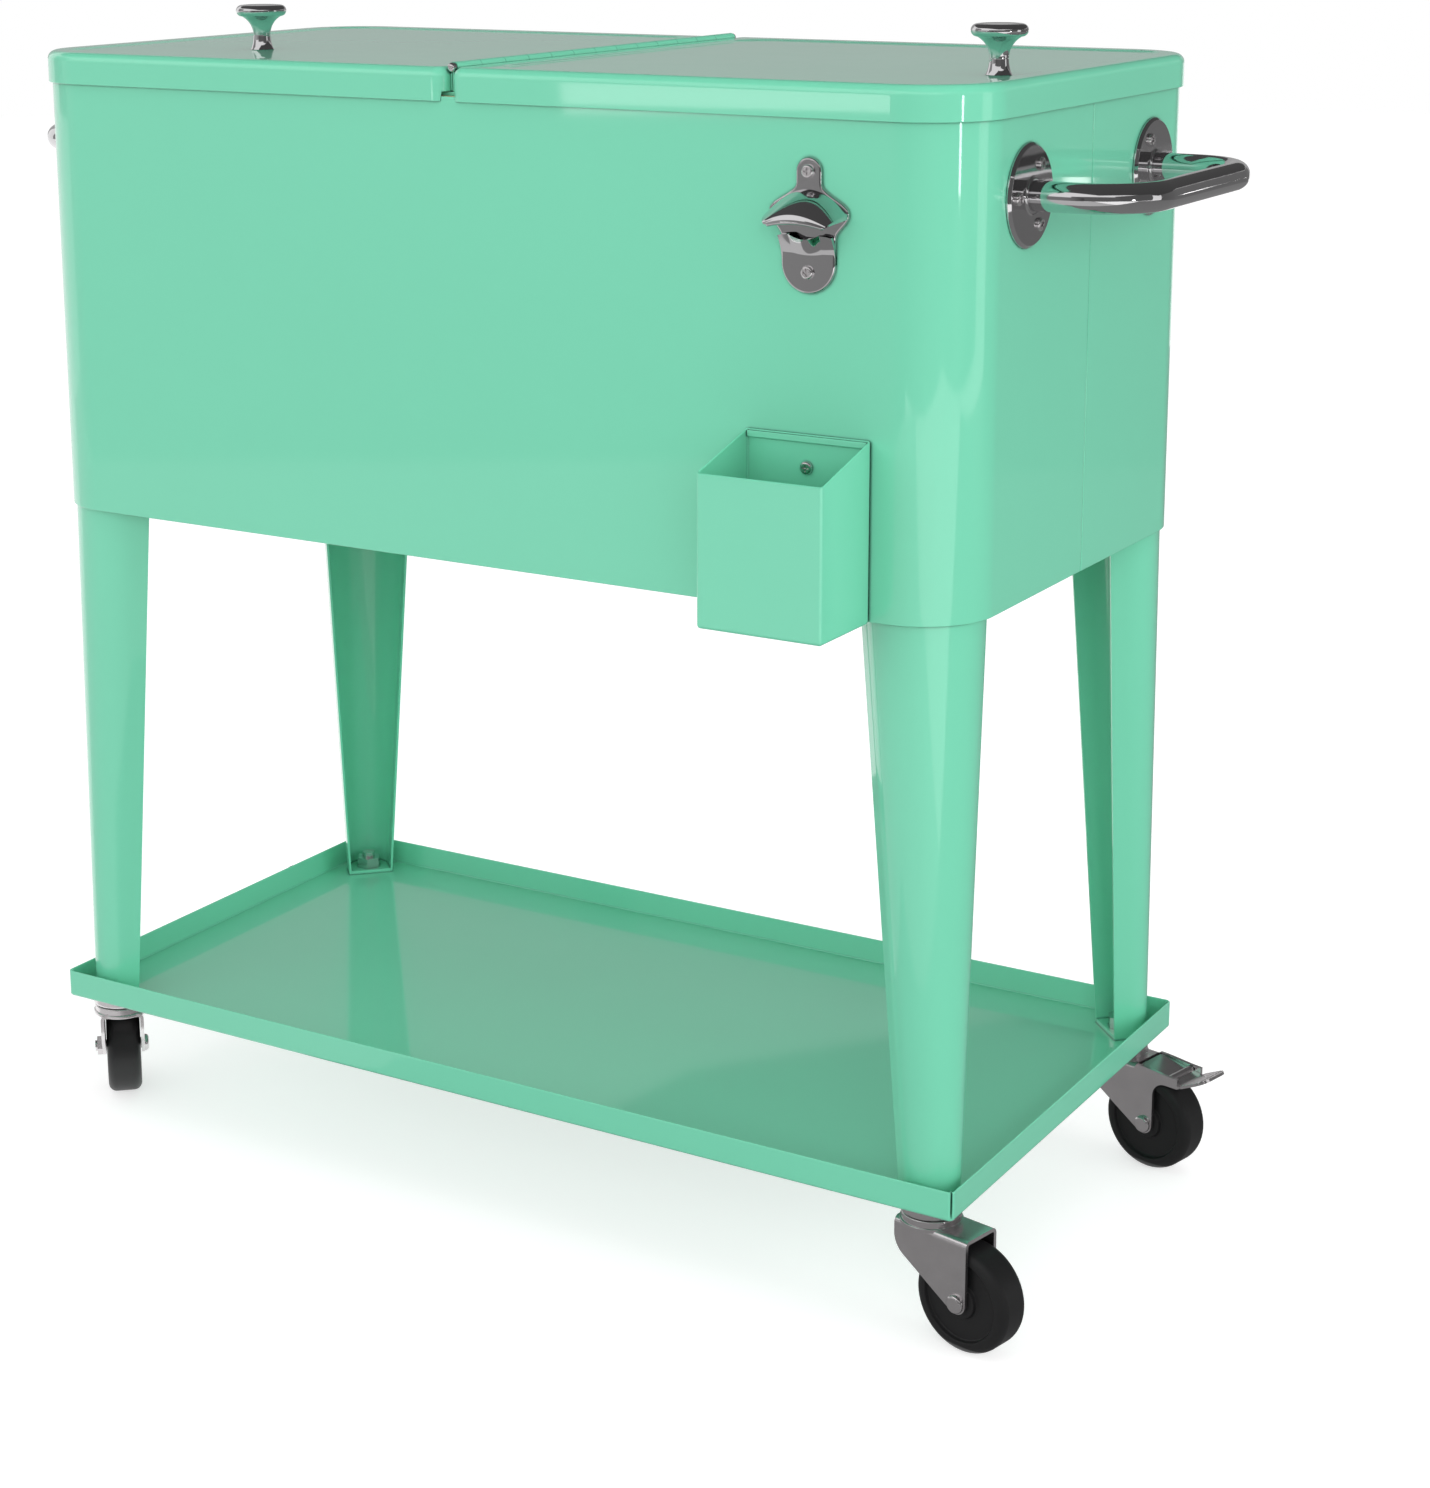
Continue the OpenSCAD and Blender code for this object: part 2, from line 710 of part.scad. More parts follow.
module bottle_opener() {
    color("silver") difference() {
        on_front(bar_x, opener_top) union() {
            linear_extrude(opener_t) opener_outline();
            difference() {
                hood_block();
                translate([0, -2.6, -2.2]) hood_block();
                translate([0, -60, -1]) cylinder(r = 27, h = 60);
            }
            // Tongue that hooks under a bottle cap
            difference() {
                translate([-opener_w / 2, 0, 0]) rotate([90, 0, 90]) linear_extrude(opener_w)
                    polygon([[-62, opener_t - 1], [-45.5, 8.5], [-44, 8], [-47, 1]]);
                translate([0, -30, opener_t]) cylinder(r = 17, h = 20);
            }
        }
        opener_screw_places() translate([0, 0, -1]) cylinder(r = screw_r + run_gap, h = 30);
    }
}

module opener_screws() {
    color("silver") opener_screw_places() translate([0, 0, opener_t - screw_len])
        pan_screw(screw_len);
}

// ---- Cap catcher ----

module catcher_screw_places() {
    for (z = catcher_screw_z) on_front(bar_x, z) children();
}

// Side view of the catcher, g inside its outer face and open above when g is over zero
module catcher_side(g) {
    over = 40 * sign(g);
    polygon([[g, g], [catcher_d - g, g], [catcher_d - g, catcher_h - catcher_fall + over],
        [g, catcher_h + over]]);
}

module cap_catcher() {
    color("aquamarine") translate([bar_x, -tub_d / 2 - part_gap, catcher_z]) difference() {
        union() {
            difference() {
                rotate([90, 0, -90]) translate([0, 0, -catcher_w / 2])
                    linear_extrude(catcher_w) catcher_side(0);
                rotate([90, 0, -90]) translate([0, 0, sheet_t - catcher_w / 2])
                    linear_extrude(catcher_w - 2 * sheet_t) catcher_side(sheet_t);
            }
            translate([-catcher_w / 2 + sheet_t, -2 * sheet_t, catcher_h - hem_h - 1])
                cube([catcher_w - 2 * sheet_t, sheet_t + eps, hem_h]);
        }
        for (z = catcher_screw_z) translate([0, 1, z - catcher_z]) rotate([90, 0, 0]) {
            cylinder(r = screw_r + part_gap, h = sheet_t + 3);
            translate([-screw_r - part_gap, -catcher_lift, 0])
                cube([2 * (screw_r + part_gap), catcher_lift, sheet_t + 3]);
            translate([0, -catcher_lift, 0]) cylinder(r = keyhole_r, h = sheet_t + 3);
        }
    }
}

module catcher_screws() {
    color("silver") catcher_screw_places()
        translate([0, 0, 2 * part_gap + sheet_t - screw_len]) pan_screw(screw_len);
}

// ---- Legs and shelf ----

// Section of a leg, nose towards +X: a half round of radius r with straight sides
module leg_section(r, side) {
    circle(r, $fn = 48);
    translate([-side, -r]) square([side, 2 * r]);
}

// Loft between heights z0 and z1 of a leg, g inside its outer face; its sides run on past
// the leg's open back when g is over zero
module leg_loft(g, z0, z1) {
    more = 30 * sign(g);
    hull() {
        translate([stem_x, stem_y, z0]) rotate([0, 0, 45])
            linear_extrude(0.1) leg_section(leg_foot_r - g, leg_foot_side + more);
        translate([leg_x, leg_y, z1 - 0.1]) rotate([0, 0, 45])
            linear_extrude(0.1) leg_section(leg_top_r - g, leg_top_side + more);
    }
}

// Folded leg with a foot plate for the caster stem and a head plate under the tub
module leg(corner) {
    color("aquamarine") corner_place(corner) difference() {
        leg_loft(0, foot_z, base_z);
        leg_loft(leg_t, foot_z + foot_plate_t, base_z - head_plate_t);
        translate([stem_x, stem_y, foot_z - 1]) cylinder(r = stem_r + run_gap, h = 6);
        leg_bolt_spots() translate([0, 0, -head_plate_t - 1])
            cylinder(r = bolt_r + run_gap, h = head_plate_t + 2);
    }
}

module corner_place(corner) {
    if (corner[0] > 0 && corner[1] > 0) children();
    else if (corner[0] < 0 && corner[1] < 0) rotate([0, 0, 180]) children();
    else if (corner[0] < 0) mirror([1, 0, 0]) children();
    else mirror([0, 1, 0]) children();
}

// The two bolts of the rear right leg
module leg_bolt_spots() {
    translate([leg_x, leg_y, base_z]) rotate([0, 0, 45])
        for (s = [-1, 1]) translate([0, s * leg_bolt_side, 0]) children();
}

module leg_bolt_places() {
    for (c = CORNERS) corner_place(c) leg_bolt_spots() children();
}

module front_left_leg() { leg(CORNERS[0]); }
module front_right_leg() { leg(CORNERS[1]); }
module rear_left_leg() { leg(CORNERS[2]); }
module rear_right_leg() { leg(CORNERS[3]); }

module leg_bolts() {
    color("silver") leg_bolt_places() {
        translate([0, 0, -head_plate_t - bolt_head_h]) hex_prism(2 * bolt_head_r - 1, bolt_head_h);
        translate([0, 0, -head_plate_t - eps])
            cylinder(r = bolt_r, h = head_plate_t + sheet_t + 8);
    }
}

module shelf() {
    color("aquamarine") difference() {
        prism(shelf_l, shelf_d, shelf_r, shelf_z, shelf_z + rim_h);
        prism(shelf_l - 2 * sheet_t, shelf_d - 2 * sheet_t, shelf_r - sheet_t,
            foot_z, shelf_z + rim_h + 1);
        for (c = CORNERS) {
            translate([c[0] * stem_x, c[1] * stem_y, shelf_z - 1])
                cylinder(r = stem_r + run_gap, h = sheet_t + 2);
            // Open seam where the folded rims meet
            translate([c[0] * shelf_l / 2, c[1] * shelf_d / 2, foot_z + 1])
                rotate([0, 0, c[0] * c[1] * 45]) translate([-4, -0.3, 0])
                    cube([8, 0.6, rim_h]);
        }
    }
}

module stem_nuts() {
    color("silver") for (c = CORNERS)
        translate([c[0] * stem_x, c[1] * stem_y, foot_z + foot_plate_t]) difference() {
            hex_prism(nut_af, nut_h);
            translate([0, 0, -1]) cylinder(r = stem_r + run_gap, h = nut_h + 2);
        }
}

// ---- Casters ----

// Moves children from the caster's own frame, stem at the origin and trail towards +X
module caster_place(i) {
    translate([CORNERS[i][0] * stem_x, CORNERS[i][1] * stem_y, 0])
        rotate([0, 0, headings[i]]) children();
}

module caster_stem(i) {
    color("silver") caster_place(i) {
        translate([0, 0, shelf_z]) mirror([0, 0, 1]) rotate_extrude()
            edge_section(cup_r, cup_h, 2.5);
        translate([0, 0, crown_z - 3])
            cylinder(r = stem_r, h = foot_z + foot_plate_t + nut_h + stem_over - crown_z + 3);
        translate([0, 0, crown_z - part_gap]) mirror([0, 0, 1]) rotate_extrude()
            edge_section(stem_r + 4, 3, 2);
    }
}

// Side view of a fork cheek: a tapered blade that ends round the axle; a braked fork has a
// lobe behind that carries the brake pedal
module cheek_outline(braked) {
    nose = [fork_nose_r - fork_front, crown_z - fork_nose_drop];
    down = [trail, axle_z] - nose;
    face = atan2(down[1], down[0]) - acos((fork_nose_r - fork_end_r) / norm(down));
    front = [for (k = [0 : 6])
        nose + fork_nose_r * [cos(k * (face + 180) / 6 - 180), sin(k * (face + 180) / 6 - 180)]];
    touch = [trail, axle_z] + fork_end_r * [cos(face), sin(face)];
    lobe_end = cup_r + 4;
    curve = [for (a = [180 : -15 : 90])
        [fork_tail + lobe_r, lobe_z - lobe_r] + lobe_r * [cos(a), sin(a)]];
    tail = braked ? concat(curve, [[brake_tail, lobe_z], [brake_tail, brake_top],
        [lobe_end, crown_z + fork_t]]) : [[fork_tail, crown_z + fork_t]];
    polygon(concat([[-fork_front, crown_z + fork_t]], front,
        [touch, [trail, axle_z], [fork_tail, axle_z]], tail));
    translate([trail, axle_z]) circle(fork_end_r);
}

module fork(i) {
    braked = CORNERS[i][1] > 0;
    plate_end = braked ? cup_r + 4 : fork_tail;
    color("gainsboro") caster_place(i) difference() {
        union() {
            translate([0, 0, crown_z]) linear_extrude(fork_t) {
                circle(cup_r);
                translate([0, -fork_out]) square([plate_end, 2 * fork_out]);
            }
            translate([0, 0, crown_z + fork_t - eps]) difference() {
                cylinder(r = cup_r - 1, h = race_h + eps);
                translate([0, 0, 1]) cylinder(r = cup_r - 1 - race_wall, h = race_h + 1);
            }
            for (s = [0, 1]) mirror([0, s, 0]) translate([0, fork_out, 0]) rotate([90, 0, 0])
                linear_extrude(fork_t) cheek_outline(braked);
        }
        translate([0, 0, crown_z - 1]) cylinder(r = stem_r + run_gap, h = fork_t + race_h + 2);
        translate([trail, 0, axle_z]) rotate([90, 0, 0])
            cylinder(r = axle_r + run_gap, h = 60, center = true);
        if (braked) translate([pedal_u, 0, pedal_z]) rotate([90, 0, 0])
            cylinder(r = pedal_pin_r + run_gap, h = 60, center = true);
    }
}

module axle(i) {
    color("silver") caster_place(i) translate([trail, 0, axle_z]) rotate([90, 0, 0]) {
        cylinder(r = axle_r, h = 2 * fork_out, center = true);
        translate([0, 0, fork_out]) rotate_extrude() edge_section(axle_r + 2.2, 3, 2.4);
        mirror([0, 0, 1]) translate([0, 0, fork_out]) {
            hex_prism(axle_r * 2 + 4, 4);
            cylinder(r = axle_r, h = 5.5);
        }
    }
}

module wheel(i) {
    hub_r = 11;
    dish = 2.5;
    color("dimgray") caster_place(i) translate([trail, 0, axle_z]) rotate([90, 0, 0])
        difference() {
            rotate_extrude() for (s = [0, 1]) mirror([0, s]) {
                edge_section(wheel_d / 2, wheel_w / 2, 6);
            }
            for (s = [0, 1]) mirror([0, 0, s]) translate([0, 0, wheel_w / 2 - dish])
                difference() {
                    cylinder(r = wheel_d / 2 - 8, h = dish + 1);
                    translate([0, 0, -1]) cylinder(r = hub_r, h = dish + 3);
                }
            cylinder(r = axle_r + run_gap, h = wheel_w + 2, center = true);
        }
}

// Brake lever between the cheeks of a rear fork: plate, end lip, shoe and trunnions
module brake_pedal(i) {
    inner = fork_in - part_gap;
    ahead = pedal_start - pedal_u;
    behind = brake_tail + 2.4 - pedal_u;
    shoe_l = norm([pedal_u - trail, pedal_z - axle_z]) - wheel_d / 2
        + shoe_dip - shoe_gap;
    color("silver") caster_place(i) translate([pedal_u, 0, pedal_z]) {
        rotate([0, pedal_tilt, 0]) {
            translate([ahead, -inner, -pedal_t / 2])
                cube([behind - ahead, 2 * inner, pedal_t]);
            translate([behind - 0.5, 0, -pedal_t / 2]) rotate([0, -pedal_tilt - pedal_rise, 0])
                linear_extrude(pedal_t) {
                    translate([0, -fork_out]) square([pedal_lip - 8, 2 * fork_out]);
                    translate([0, 8 - fork_out]) square([pedal_lip, 2 * fork_out - 16]);
                    for (s = [-1, 1]) translate([pedal_lip - 8, s * (fork_out - 8)]) circle(8);
                }
            translate([2.5, -6, -shoe_l]) cube([pedal_t, 12, shoe_l]);
        }
        rotate([90, 0, 0]) cylinder(r = pedal_pin_r + 1.2, h = 2 * inner - 1, center = true);
        rotate([90, 0, 0]) cylinder(r = pedal_pin_r, h = 2 * fork_out, center = true);
    }
}

module front_left_caster_stem() { caster_stem(0); }
module front_right_caster_stem() { caster_stem(1); }
module rear_left_caster_stem() { caster_stem(2); }
module rear_right_caster_stem() { caster_stem(3); }
module front_left_fork() { fork(0); }
module front_right_fork() { fork(1); }
module rear_left_fork() { fork(2); }
module rear_right_fork() { fork(3); }
module front_left_axle() { axle(0); }
module front_right_axle() { axle(1); }
module rear_left_axle() { axle(2); }
module rear_right_axle() { axle(3); }
module front_left_wheel() { wheel(0); }
module front_right_wheel() { wheel(1); }
module rear_left_wheel() { wheel(2); }
module rear_right_wheel() { wheel(3); }
module rear_left_brake_pedal() { brake_pedal(2); }
module rear_right_brake_pedal() { brake_pedal(3); }

// ---- Drain ----

module drain_place() {
    translate([-tub_l / 2, 0, drain_z]) rotate([0, -90, 0]) children();
}

module drain_spout() {
    inside = liner_wall + liner_t;
    color("white") drain_place() difference() {
        union() {
            translate([0, 0, -inside - 3]) cylinder(r = spout_r, h = inside + 3 + spout_reach);
            translate([0, 0, -inside - 3]) cylinder(r = spout_r + spout_flange, h = 3);
            hex_prism(2 * spout_r + 8, 5);
        }
        translate([0, 0, -inside - 4]) cylinder(r = drain_r, h = inside + spout_reach + 6);
    }
}

module drain_plug() {
    stem_l = 18;
    color("white") drain_place() translate([0, 0, spout_reach + part_gap]) {
        translate([0, 0, -stem_l]) cylinder(r = drain_r - run_gap, h = stem_l + 1);
        difference() {
            rotate_extrude() edge_section(spout_r + 2, 7, 2);
            for (a = [0 : 30 : 330]) rotate([0, 0, a]) translate([spout_r + 2.6, 0, -1])
                cylinder(r = 1.6, h = 10);
        }
    }
}

// ---- Assembly ----

in_frame() tub_skin();
in_frame() tub_base();
in_frame() tub_foam();
in_frame() tub_liner();
in_frame() tub_rim();
in_frame() centre_bar();
in_frame() hinge_pin();
in_frame() left_lid();
in_frame() left_lid_panel();
in_frame() left_hinge_leaf();
in_frame() left_knob();
in_frame() left_knob_screw();
in_frame() right_lid();
in_frame() right_lid_panel();
in_frame() right_hinge_leaf();
in_frame() right_knob();
in_frame() right_knob_screw();
in_frame() left_handle();
in_frame() left_handle_flanges();
in_frame() left_handle_screws();
in_frame() right_handle();
in_frame() right_handle_flanges();
in_frame() right_handle_screws();
in_frame() bottle_opener();
in_frame() opener_screws();
in_frame() cap_catcher();
in_frame() catcher_screws();
in_frame() front_left_leg();
in_frame() front_right_leg();
in_frame() rear_left_leg();
in_frame() rear_right_leg();
in_frame() leg_bolts();
in_frame() shelf();
in_frame() stem_nuts();
in_frame() drain_spout();
in_frame() drain_plug();
in_frame() front_left_caster_stem();
in_frame() front_right_caster_stem();
in_frame() rear_left_caster_stem();
in_frame() rear_right_caster_stem();
in_frame() front_left_fork();
in_frame() front_right_fork();
in_frame() rear_left_fork();
in_frame() rear_right_fork();
in_frame() front_left_axle();
in_frame() front_right_axle();
in_frame() rear_left_axle();
in_frame() rear_right_axle();
in_frame() front_left_wheel();
in_frame() front_right_wheel();
in_frame() rear_left_wheel();
in_frame() rear_right_wheel();
in_frame() rear_left_brake_pedal();
in_frame() rear_right_brake_pedal();
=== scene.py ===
"""Dressed model of a rolling patio cooler: painted tub, half lids, chrome fittings, casters."""
import json
import logging
import math
from dataclasses import dataclass
from enum import Enum
from typing import Any, Callable, Optional, Sequence

import bmesh
import bpy
import numpy as np
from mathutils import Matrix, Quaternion, Vector


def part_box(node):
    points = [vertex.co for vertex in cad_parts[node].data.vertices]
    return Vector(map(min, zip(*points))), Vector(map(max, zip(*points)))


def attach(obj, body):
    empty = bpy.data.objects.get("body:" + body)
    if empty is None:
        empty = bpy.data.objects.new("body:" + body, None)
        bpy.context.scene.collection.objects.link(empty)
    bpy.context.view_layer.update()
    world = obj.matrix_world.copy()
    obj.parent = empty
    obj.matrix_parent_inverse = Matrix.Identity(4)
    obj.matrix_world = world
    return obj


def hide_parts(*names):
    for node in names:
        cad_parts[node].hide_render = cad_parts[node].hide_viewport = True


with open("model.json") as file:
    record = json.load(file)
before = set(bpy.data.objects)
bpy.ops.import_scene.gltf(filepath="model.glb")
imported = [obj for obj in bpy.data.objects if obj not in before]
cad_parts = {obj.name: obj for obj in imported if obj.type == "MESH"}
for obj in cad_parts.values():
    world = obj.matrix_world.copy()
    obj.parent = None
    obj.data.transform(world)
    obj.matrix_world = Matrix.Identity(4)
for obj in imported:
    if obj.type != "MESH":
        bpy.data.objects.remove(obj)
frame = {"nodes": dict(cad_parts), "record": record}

logging.basicConfig(level=logging.INFO, format="%(levelname)s %(message)s")
log = logging.getLogger("patio_cooler")

MM = 0.001
WHITE = (1.0, 1.0, 1.0, 1.0)
BLACK = (0.0, 0.0, 0.0, 1.0)
# Points of a mesh closer than this many metres are one point.
MERGE_M = 2e-6
# Points of a plan beside the middle of its right side, where the tub's seam sinks.
NEAR_SEAM = np.array([0.15, 0.3, 0.5, 0.8, 1.5])
# Sides of the cooler by the sign of X.
ENDS = {-1: "left", 1: "right"}

Array = np.ndarray
Materials = dict[str, bpy.types.Material]
Point = tuple[float, float, float]
Socket = bpy.types.NodeSocket


# ---------------------------------------------------------------- surfaces


def arc(cx: float, cy: float, r: float, a0: float, a1: float, n: int) -> Array:
    """Points of a circular arc, (cx + r cos a, cy + r sin a) for n + 1 even angles.

    Args:
        cx: centre, first coordinate.
        cy: centre, second coordinate.
        r: radius.
        a0: first angle in degrees.
        a1: last angle in degrees.
        n: number of steps.

    Returns:
        Array of shape (n + 1, 2).
    """
    a = np.radians(np.linspace(a0, a1, n + 1))
    return np.stack([cx + r * np.cos(a), cy + r * np.sin(a)], axis=1)


def join(*parts: Sequence) -> Array:
    """Point lists laid end to end, with points that repeat the one before dropped."""
    pts = np.concatenate([np.atleast_2d(np.asarray(p, float)) for p in parts])
    keep = np.r_[True, np.linalg.norm(np.diff(pts, axis=0), axis=1) > 1e-6]
    return pts[keep]


def mirrored(line: Array, by: Sequence[int]) -> Array:
    """A line followed by its own reflection, walked back to the other side."""
    return join(line, (line * by)[::-1])


def grid_of(*axes: Any) -> Array:
    """A (U, V, 3) grid from three coordinates that broadcast together."""
    return np.stack(np.broadcast_arrays(*axes), -1)


def smooth(t: Array) -> Array:
    """Half a cosine wave from 0 to 1."""
    return 0.5 - 0.5 * np.cos(np.pi * t)


@dataclass
class Plan:
    """Rounded rectangle in plan, walked anticlockwise from the middle of its right side.

    The corners come in the order rear right, rear left, front left, front right. They
    have one radius each, or one for all.
    """

    lo: Sequence[float]
    hi: Sequence[float]
    radii: float | tuple[float, float, float, float]
    steps: int = 12

    def ring(self, inset: float, floor_r: float = 0.2,
             corner: Optional[float] = None) -> Array:
        """The outline moved in by inset, each corner radius less by the same amount.

        Args:
            inset: distance that the outline moves in.
            floor_r: least corner radius.
            corner: one radius for all four corners, in place of that rule.

        Returns:
            Array of shape (K, 2); K is the same for every inset.
        """
        x0, y0, x1, y1 = (self.lo[0] + inset, self.lo[1] + inset,
                          self.hi[0] - inset, self.hi[1] - inset)
        r = [max(v - inset, floor_r) if corner is None else corner
             for v in np.broadcast_to(self.radii, 4)]
        y = (self.lo[1] + self.hi[1]) / 2 + np.r_[-NEAR_SEAM[::-1], 0.0, NEAR_SEAM]
        side, n, half = np.column_stack([np.full(len(y), x1), y]), self.steps, len(NEAR_SEAM)
        return np.concatenate([
            side[half:],
            arc(x1 - r[0], y1 - r[0], r[0], 0, 90, n),
            arc(x0 + r[1], y1 - r[1], r[1], 90, 180, n),
            arc(x0 + r[2], y0 + r[2], r[2], 180, 270, n),
            arc(x1 - r[3], y0 + r[3], r[3], 270, 360, n),
            side[:half],
        ])

    def level(self, inset: float, z: float | Array, floor_r: float = 0.2,
              corner: Optional[float] = None) -> Array:
        """The ring at an inset with a height for every point, shape (K, 3)."""
        xy = self.ring(inset, floor_r, corner)
        return np.column_stack([xy, np.broadcast_to(z, len(xy))])

    def bend(self, inset: float, z: float | Array, r: float, a0: float, a1: float,
             n: int, floor_r: float = 0.2) -> list[Array]:
        """Rings round a fold, at inset - r cos a and height z + r sin a.

        Args:
            inset: inset of the fold's centre.
            z: height of the fold's centre.
            r: radius of the fold; a negative one turns the fold over.
            a0: first angle in degrees.
            a1: last angle in degrees.
            n: number of rings.
            floor_r: least corner radius.

        Returns:
            The rings.
        """
        return [self.level(inset - r * math.cos(a), z + r * math.sin(a), floor_r)
                for a in np.radians(np.linspace(a0, a1, n))]


def linked(name: str, data: bpy.types.ID) -> bpy.types.Object:
    """A new object in the scene, at the origin."""
    obj = bpy.data.objects.new(name, data)
    bpy.context.scene.collection.objects.link(obj)
    return obj


class Shell:
    """Vertices and faces in millimetres, gathered from grids of points, then made one mesh."""

    def __init__(self) -> None:
        """Starts empty."""
        self.points: Array = np.zeros((0, 3))
        self.faces: list[list[int]] = []

    def _take(self, pts: Array) -> int:
        """Stores points and returns the index of the first."""
        start = len(self.points)
        self.points = np.concatenate([self.points, pts.reshape(-1, 3)])
        return start

    def grid(self, pts: Array, around: bool = False, along: bool = False) -> "Shell":
        """Quads between neighbours of a (U, V, 3) grid.

        Args:
            pts: the grid.
            around: the last column joins the first.
            along: the last row joins the first.

        Returns:
            The shell.
        """
        rows, cols = pts.shape[:2]
        index = np.arange(rows * cols).reshape(rows, cols) + self._take(pts)
        if around:
            index = np.concatenate([index, index[:, :1]], axis=1)
        if along:
            index = np.concatenate([index, index[:1]], axis=0)
        quads = np.stack([index[:-1, :-1], index[:-1, 1:], index[1:, 1:], index[1:, :-1]], -1)
        self.faces += quads.reshape(-1, 4).tolist()
        return self

    def cap(self, ring: Array) -> "Shell":
        """One flat face over a closed ring of points."""
        start = self._take(ring)
        self.faces.append(list(range(start, start + len(ring))))
        return self

    def rings(self, rings: Sequence[Array], closed: bool = False) -> "Shell":
        """A skin over closed rings, with flat caps on its ends unless the skin meets itself."""
        grid = np.stack(rings)
        self.grid(grid, around=True, along=closed)
        return self if closed else self.cap(grid[0][::-1]).cap(grid[-1])

    def sheet(self, outer: Array, inner: Array) -> "Shell":
        """A wall between two (U, V, 3) grids, closed along its four edges."""
        self.grid(outer).grid(inner)
        for edge in (np.s_[0, :], np.s_[-1, :], np.s_[:, 0], np.s_[:, -1]):
            self.grid(np.stack([outer[edge], inner[edge]]))
        return self

    def moved(self, *moves: Callable[[Array], Array]) -> "Shell":
        """Every point passed through functions of an (N, 3) array, one after another."""
        for move in moves:
            self.points = move(self.points)
        return self

    def add(self, *others: "Shell") -> "Shell":
        """Adds other shells' points and faces."""
        for other in others:
            start = self._take(other.points)
            self.faces += [[i + start for i in f] for f in other.faces]
        return self

    def piece(self, name: str, body: str, slot: str, materials: Materials,
              replaces: Sequence[str] = (), sharp: float = 32.0,
              soften: float = 0.0) -> bpy.types.Object:
        """Args:
            name: name of the piece.
            body: body that it rides on.
            slot: material slot of the record.
            materials: the material of each slot.
            replaces: nodes that it stands for.
            sharp: edges that turn more than this many degrees stay sharp.
            soften: width in millimetres of the round on sharp edges; zero leaves them.

        Returns:
            The object, at the origin.
        """
        mesh = bpy.data.meshes.new(name)
        mesh.from_pydata((self.points * MM).tolist(), [], self.faces)
        work = bmesh.new()
        work.from_mesh(mesh)
        bmesh.ops.remove_doubles(work, verts=work.verts, dist=MERGE_M)
        bmesh.ops.dissolve_degenerate(work, edges=work.edges, dist=MERGE_M / 2)
        bmesh.ops.recalc_face_normals(work, faces=work.faces)
        work.to_mesh(mesh)
        work.free()
        mesh.polygons.foreach_set("use_smooth", np.ones(len(mesh.polygons), bool))
        mesh.set_sharp_from_angle(angle=math.radians(sharp))
        mesh.materials.append(materials[slot])
        obj = linked(name, mesh)
        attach(obj, body)
        if replaces:
            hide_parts(*replaces)
        if soften > 0:
            edge = obj.modifiers.new("soft_edge", "BEVEL")
            edge.width, edge.segments = soften * MM, 2
            edge.limit_method, edge.angle_limit = "ANGLE", math.radians(50)
            edge.use_clamp_overlap = True
        even = obj.modifiers.new("flat_faces", "WEIGHTED_NORMAL")
        even.mode, even.keep_sharp = "FACE_AREA", True
        log.info("%s: %d faces on %s", name, len(mesh.polygons), body)
        return obj


def revolve(profile: Array, steps: int = 64, bored: bool = False) -> Shell:
    """A profile of (radius, height) pairs turned about Z, (r cos a, r sin a, h).

    Args:
        profile: the pairs; a radius of zero closes a pole.
        steps: number of steps round.
        bored: the profile's last point joins its first.

    Returns:
        The shell.
    """
    a = np.linspace(0, 2 * np.pi, steps, endpoint=False)
    r, h = profile[:, :1], profile[:, 1:]
    return Shell().grid(grid_of(r * np.cos(a), r * np.sin(a), h), around=True, along=bored)


def tube(path: Array, radius: float, up: Sequence[float], steps: int,
         taper: float = 1.0) -> list[Array]:
    """Rings of a round tube: at each point c of a path that runs along t, with n = up x t
    and b = t x n, the ring is c + radius (cos a n + sin a b).

    Args:
        path: centre line, (N, 3), nowhere along up.
        radius: radius of the tube.
        up: direction square to the tube's side.
        steps: number of steps round.
        taper: share of the radius that the first and the last ring have.

    Returns:
        The rings.
    """
    t = np.gradient(path, axis=0)
    t /= np.linalg.norm(t, axis=1, keepdims=True)
    n = np.cross(up, t)
    n /= np.linalg.norm(n, axis=1, keepdims=True)
    b = np.cross(t, n)
    a = np.linspace(0, 2 * np.pi, steps, endpoint=False)[None, :, None]
    r = np.full((len(path), 1, 1), radius)
    r[[0, -1]] *= taper
    return list(path[:, None] + r * (np.cos(a) * n[:, None] + np.sin(a) * b[:, None]))


def turned(axis: str, degrees: float) -> Callable[[Array], Array]:
    """A turn about a row axis through the origin, as a function of an (N, 3) array."""
    i, j = {"X": (1, 2), "Y": (2, 0), "Z": (0, 1)}[axis]
    c, s = math.cos(math.radians(degrees)), math.sin(math.radians(degrees))

    def turn(p: Array) -> Array:
        """Turns the points."""
        q = p.copy()
        q[:, i] = c * p[:, i] - s * p[:, j]
        q[:, j] = s * p[:, i] + c * p[:, j]
        return q

    return turn


def shifted(*by: float) -> Callable[[Array], Array]:
    """A move by three numbers, as a function of an (N, 3) array."""
    return lambda p: p + np.array(by)


def box_mm(node: str) -> tuple[Array, Array]:
    """Lowest and highest corner of a node in millimetres."""
    lo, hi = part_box(node)
    return np.array(lo) / MM, np.array(hi) / MM


# ---------------------------------------------------------------- finishes


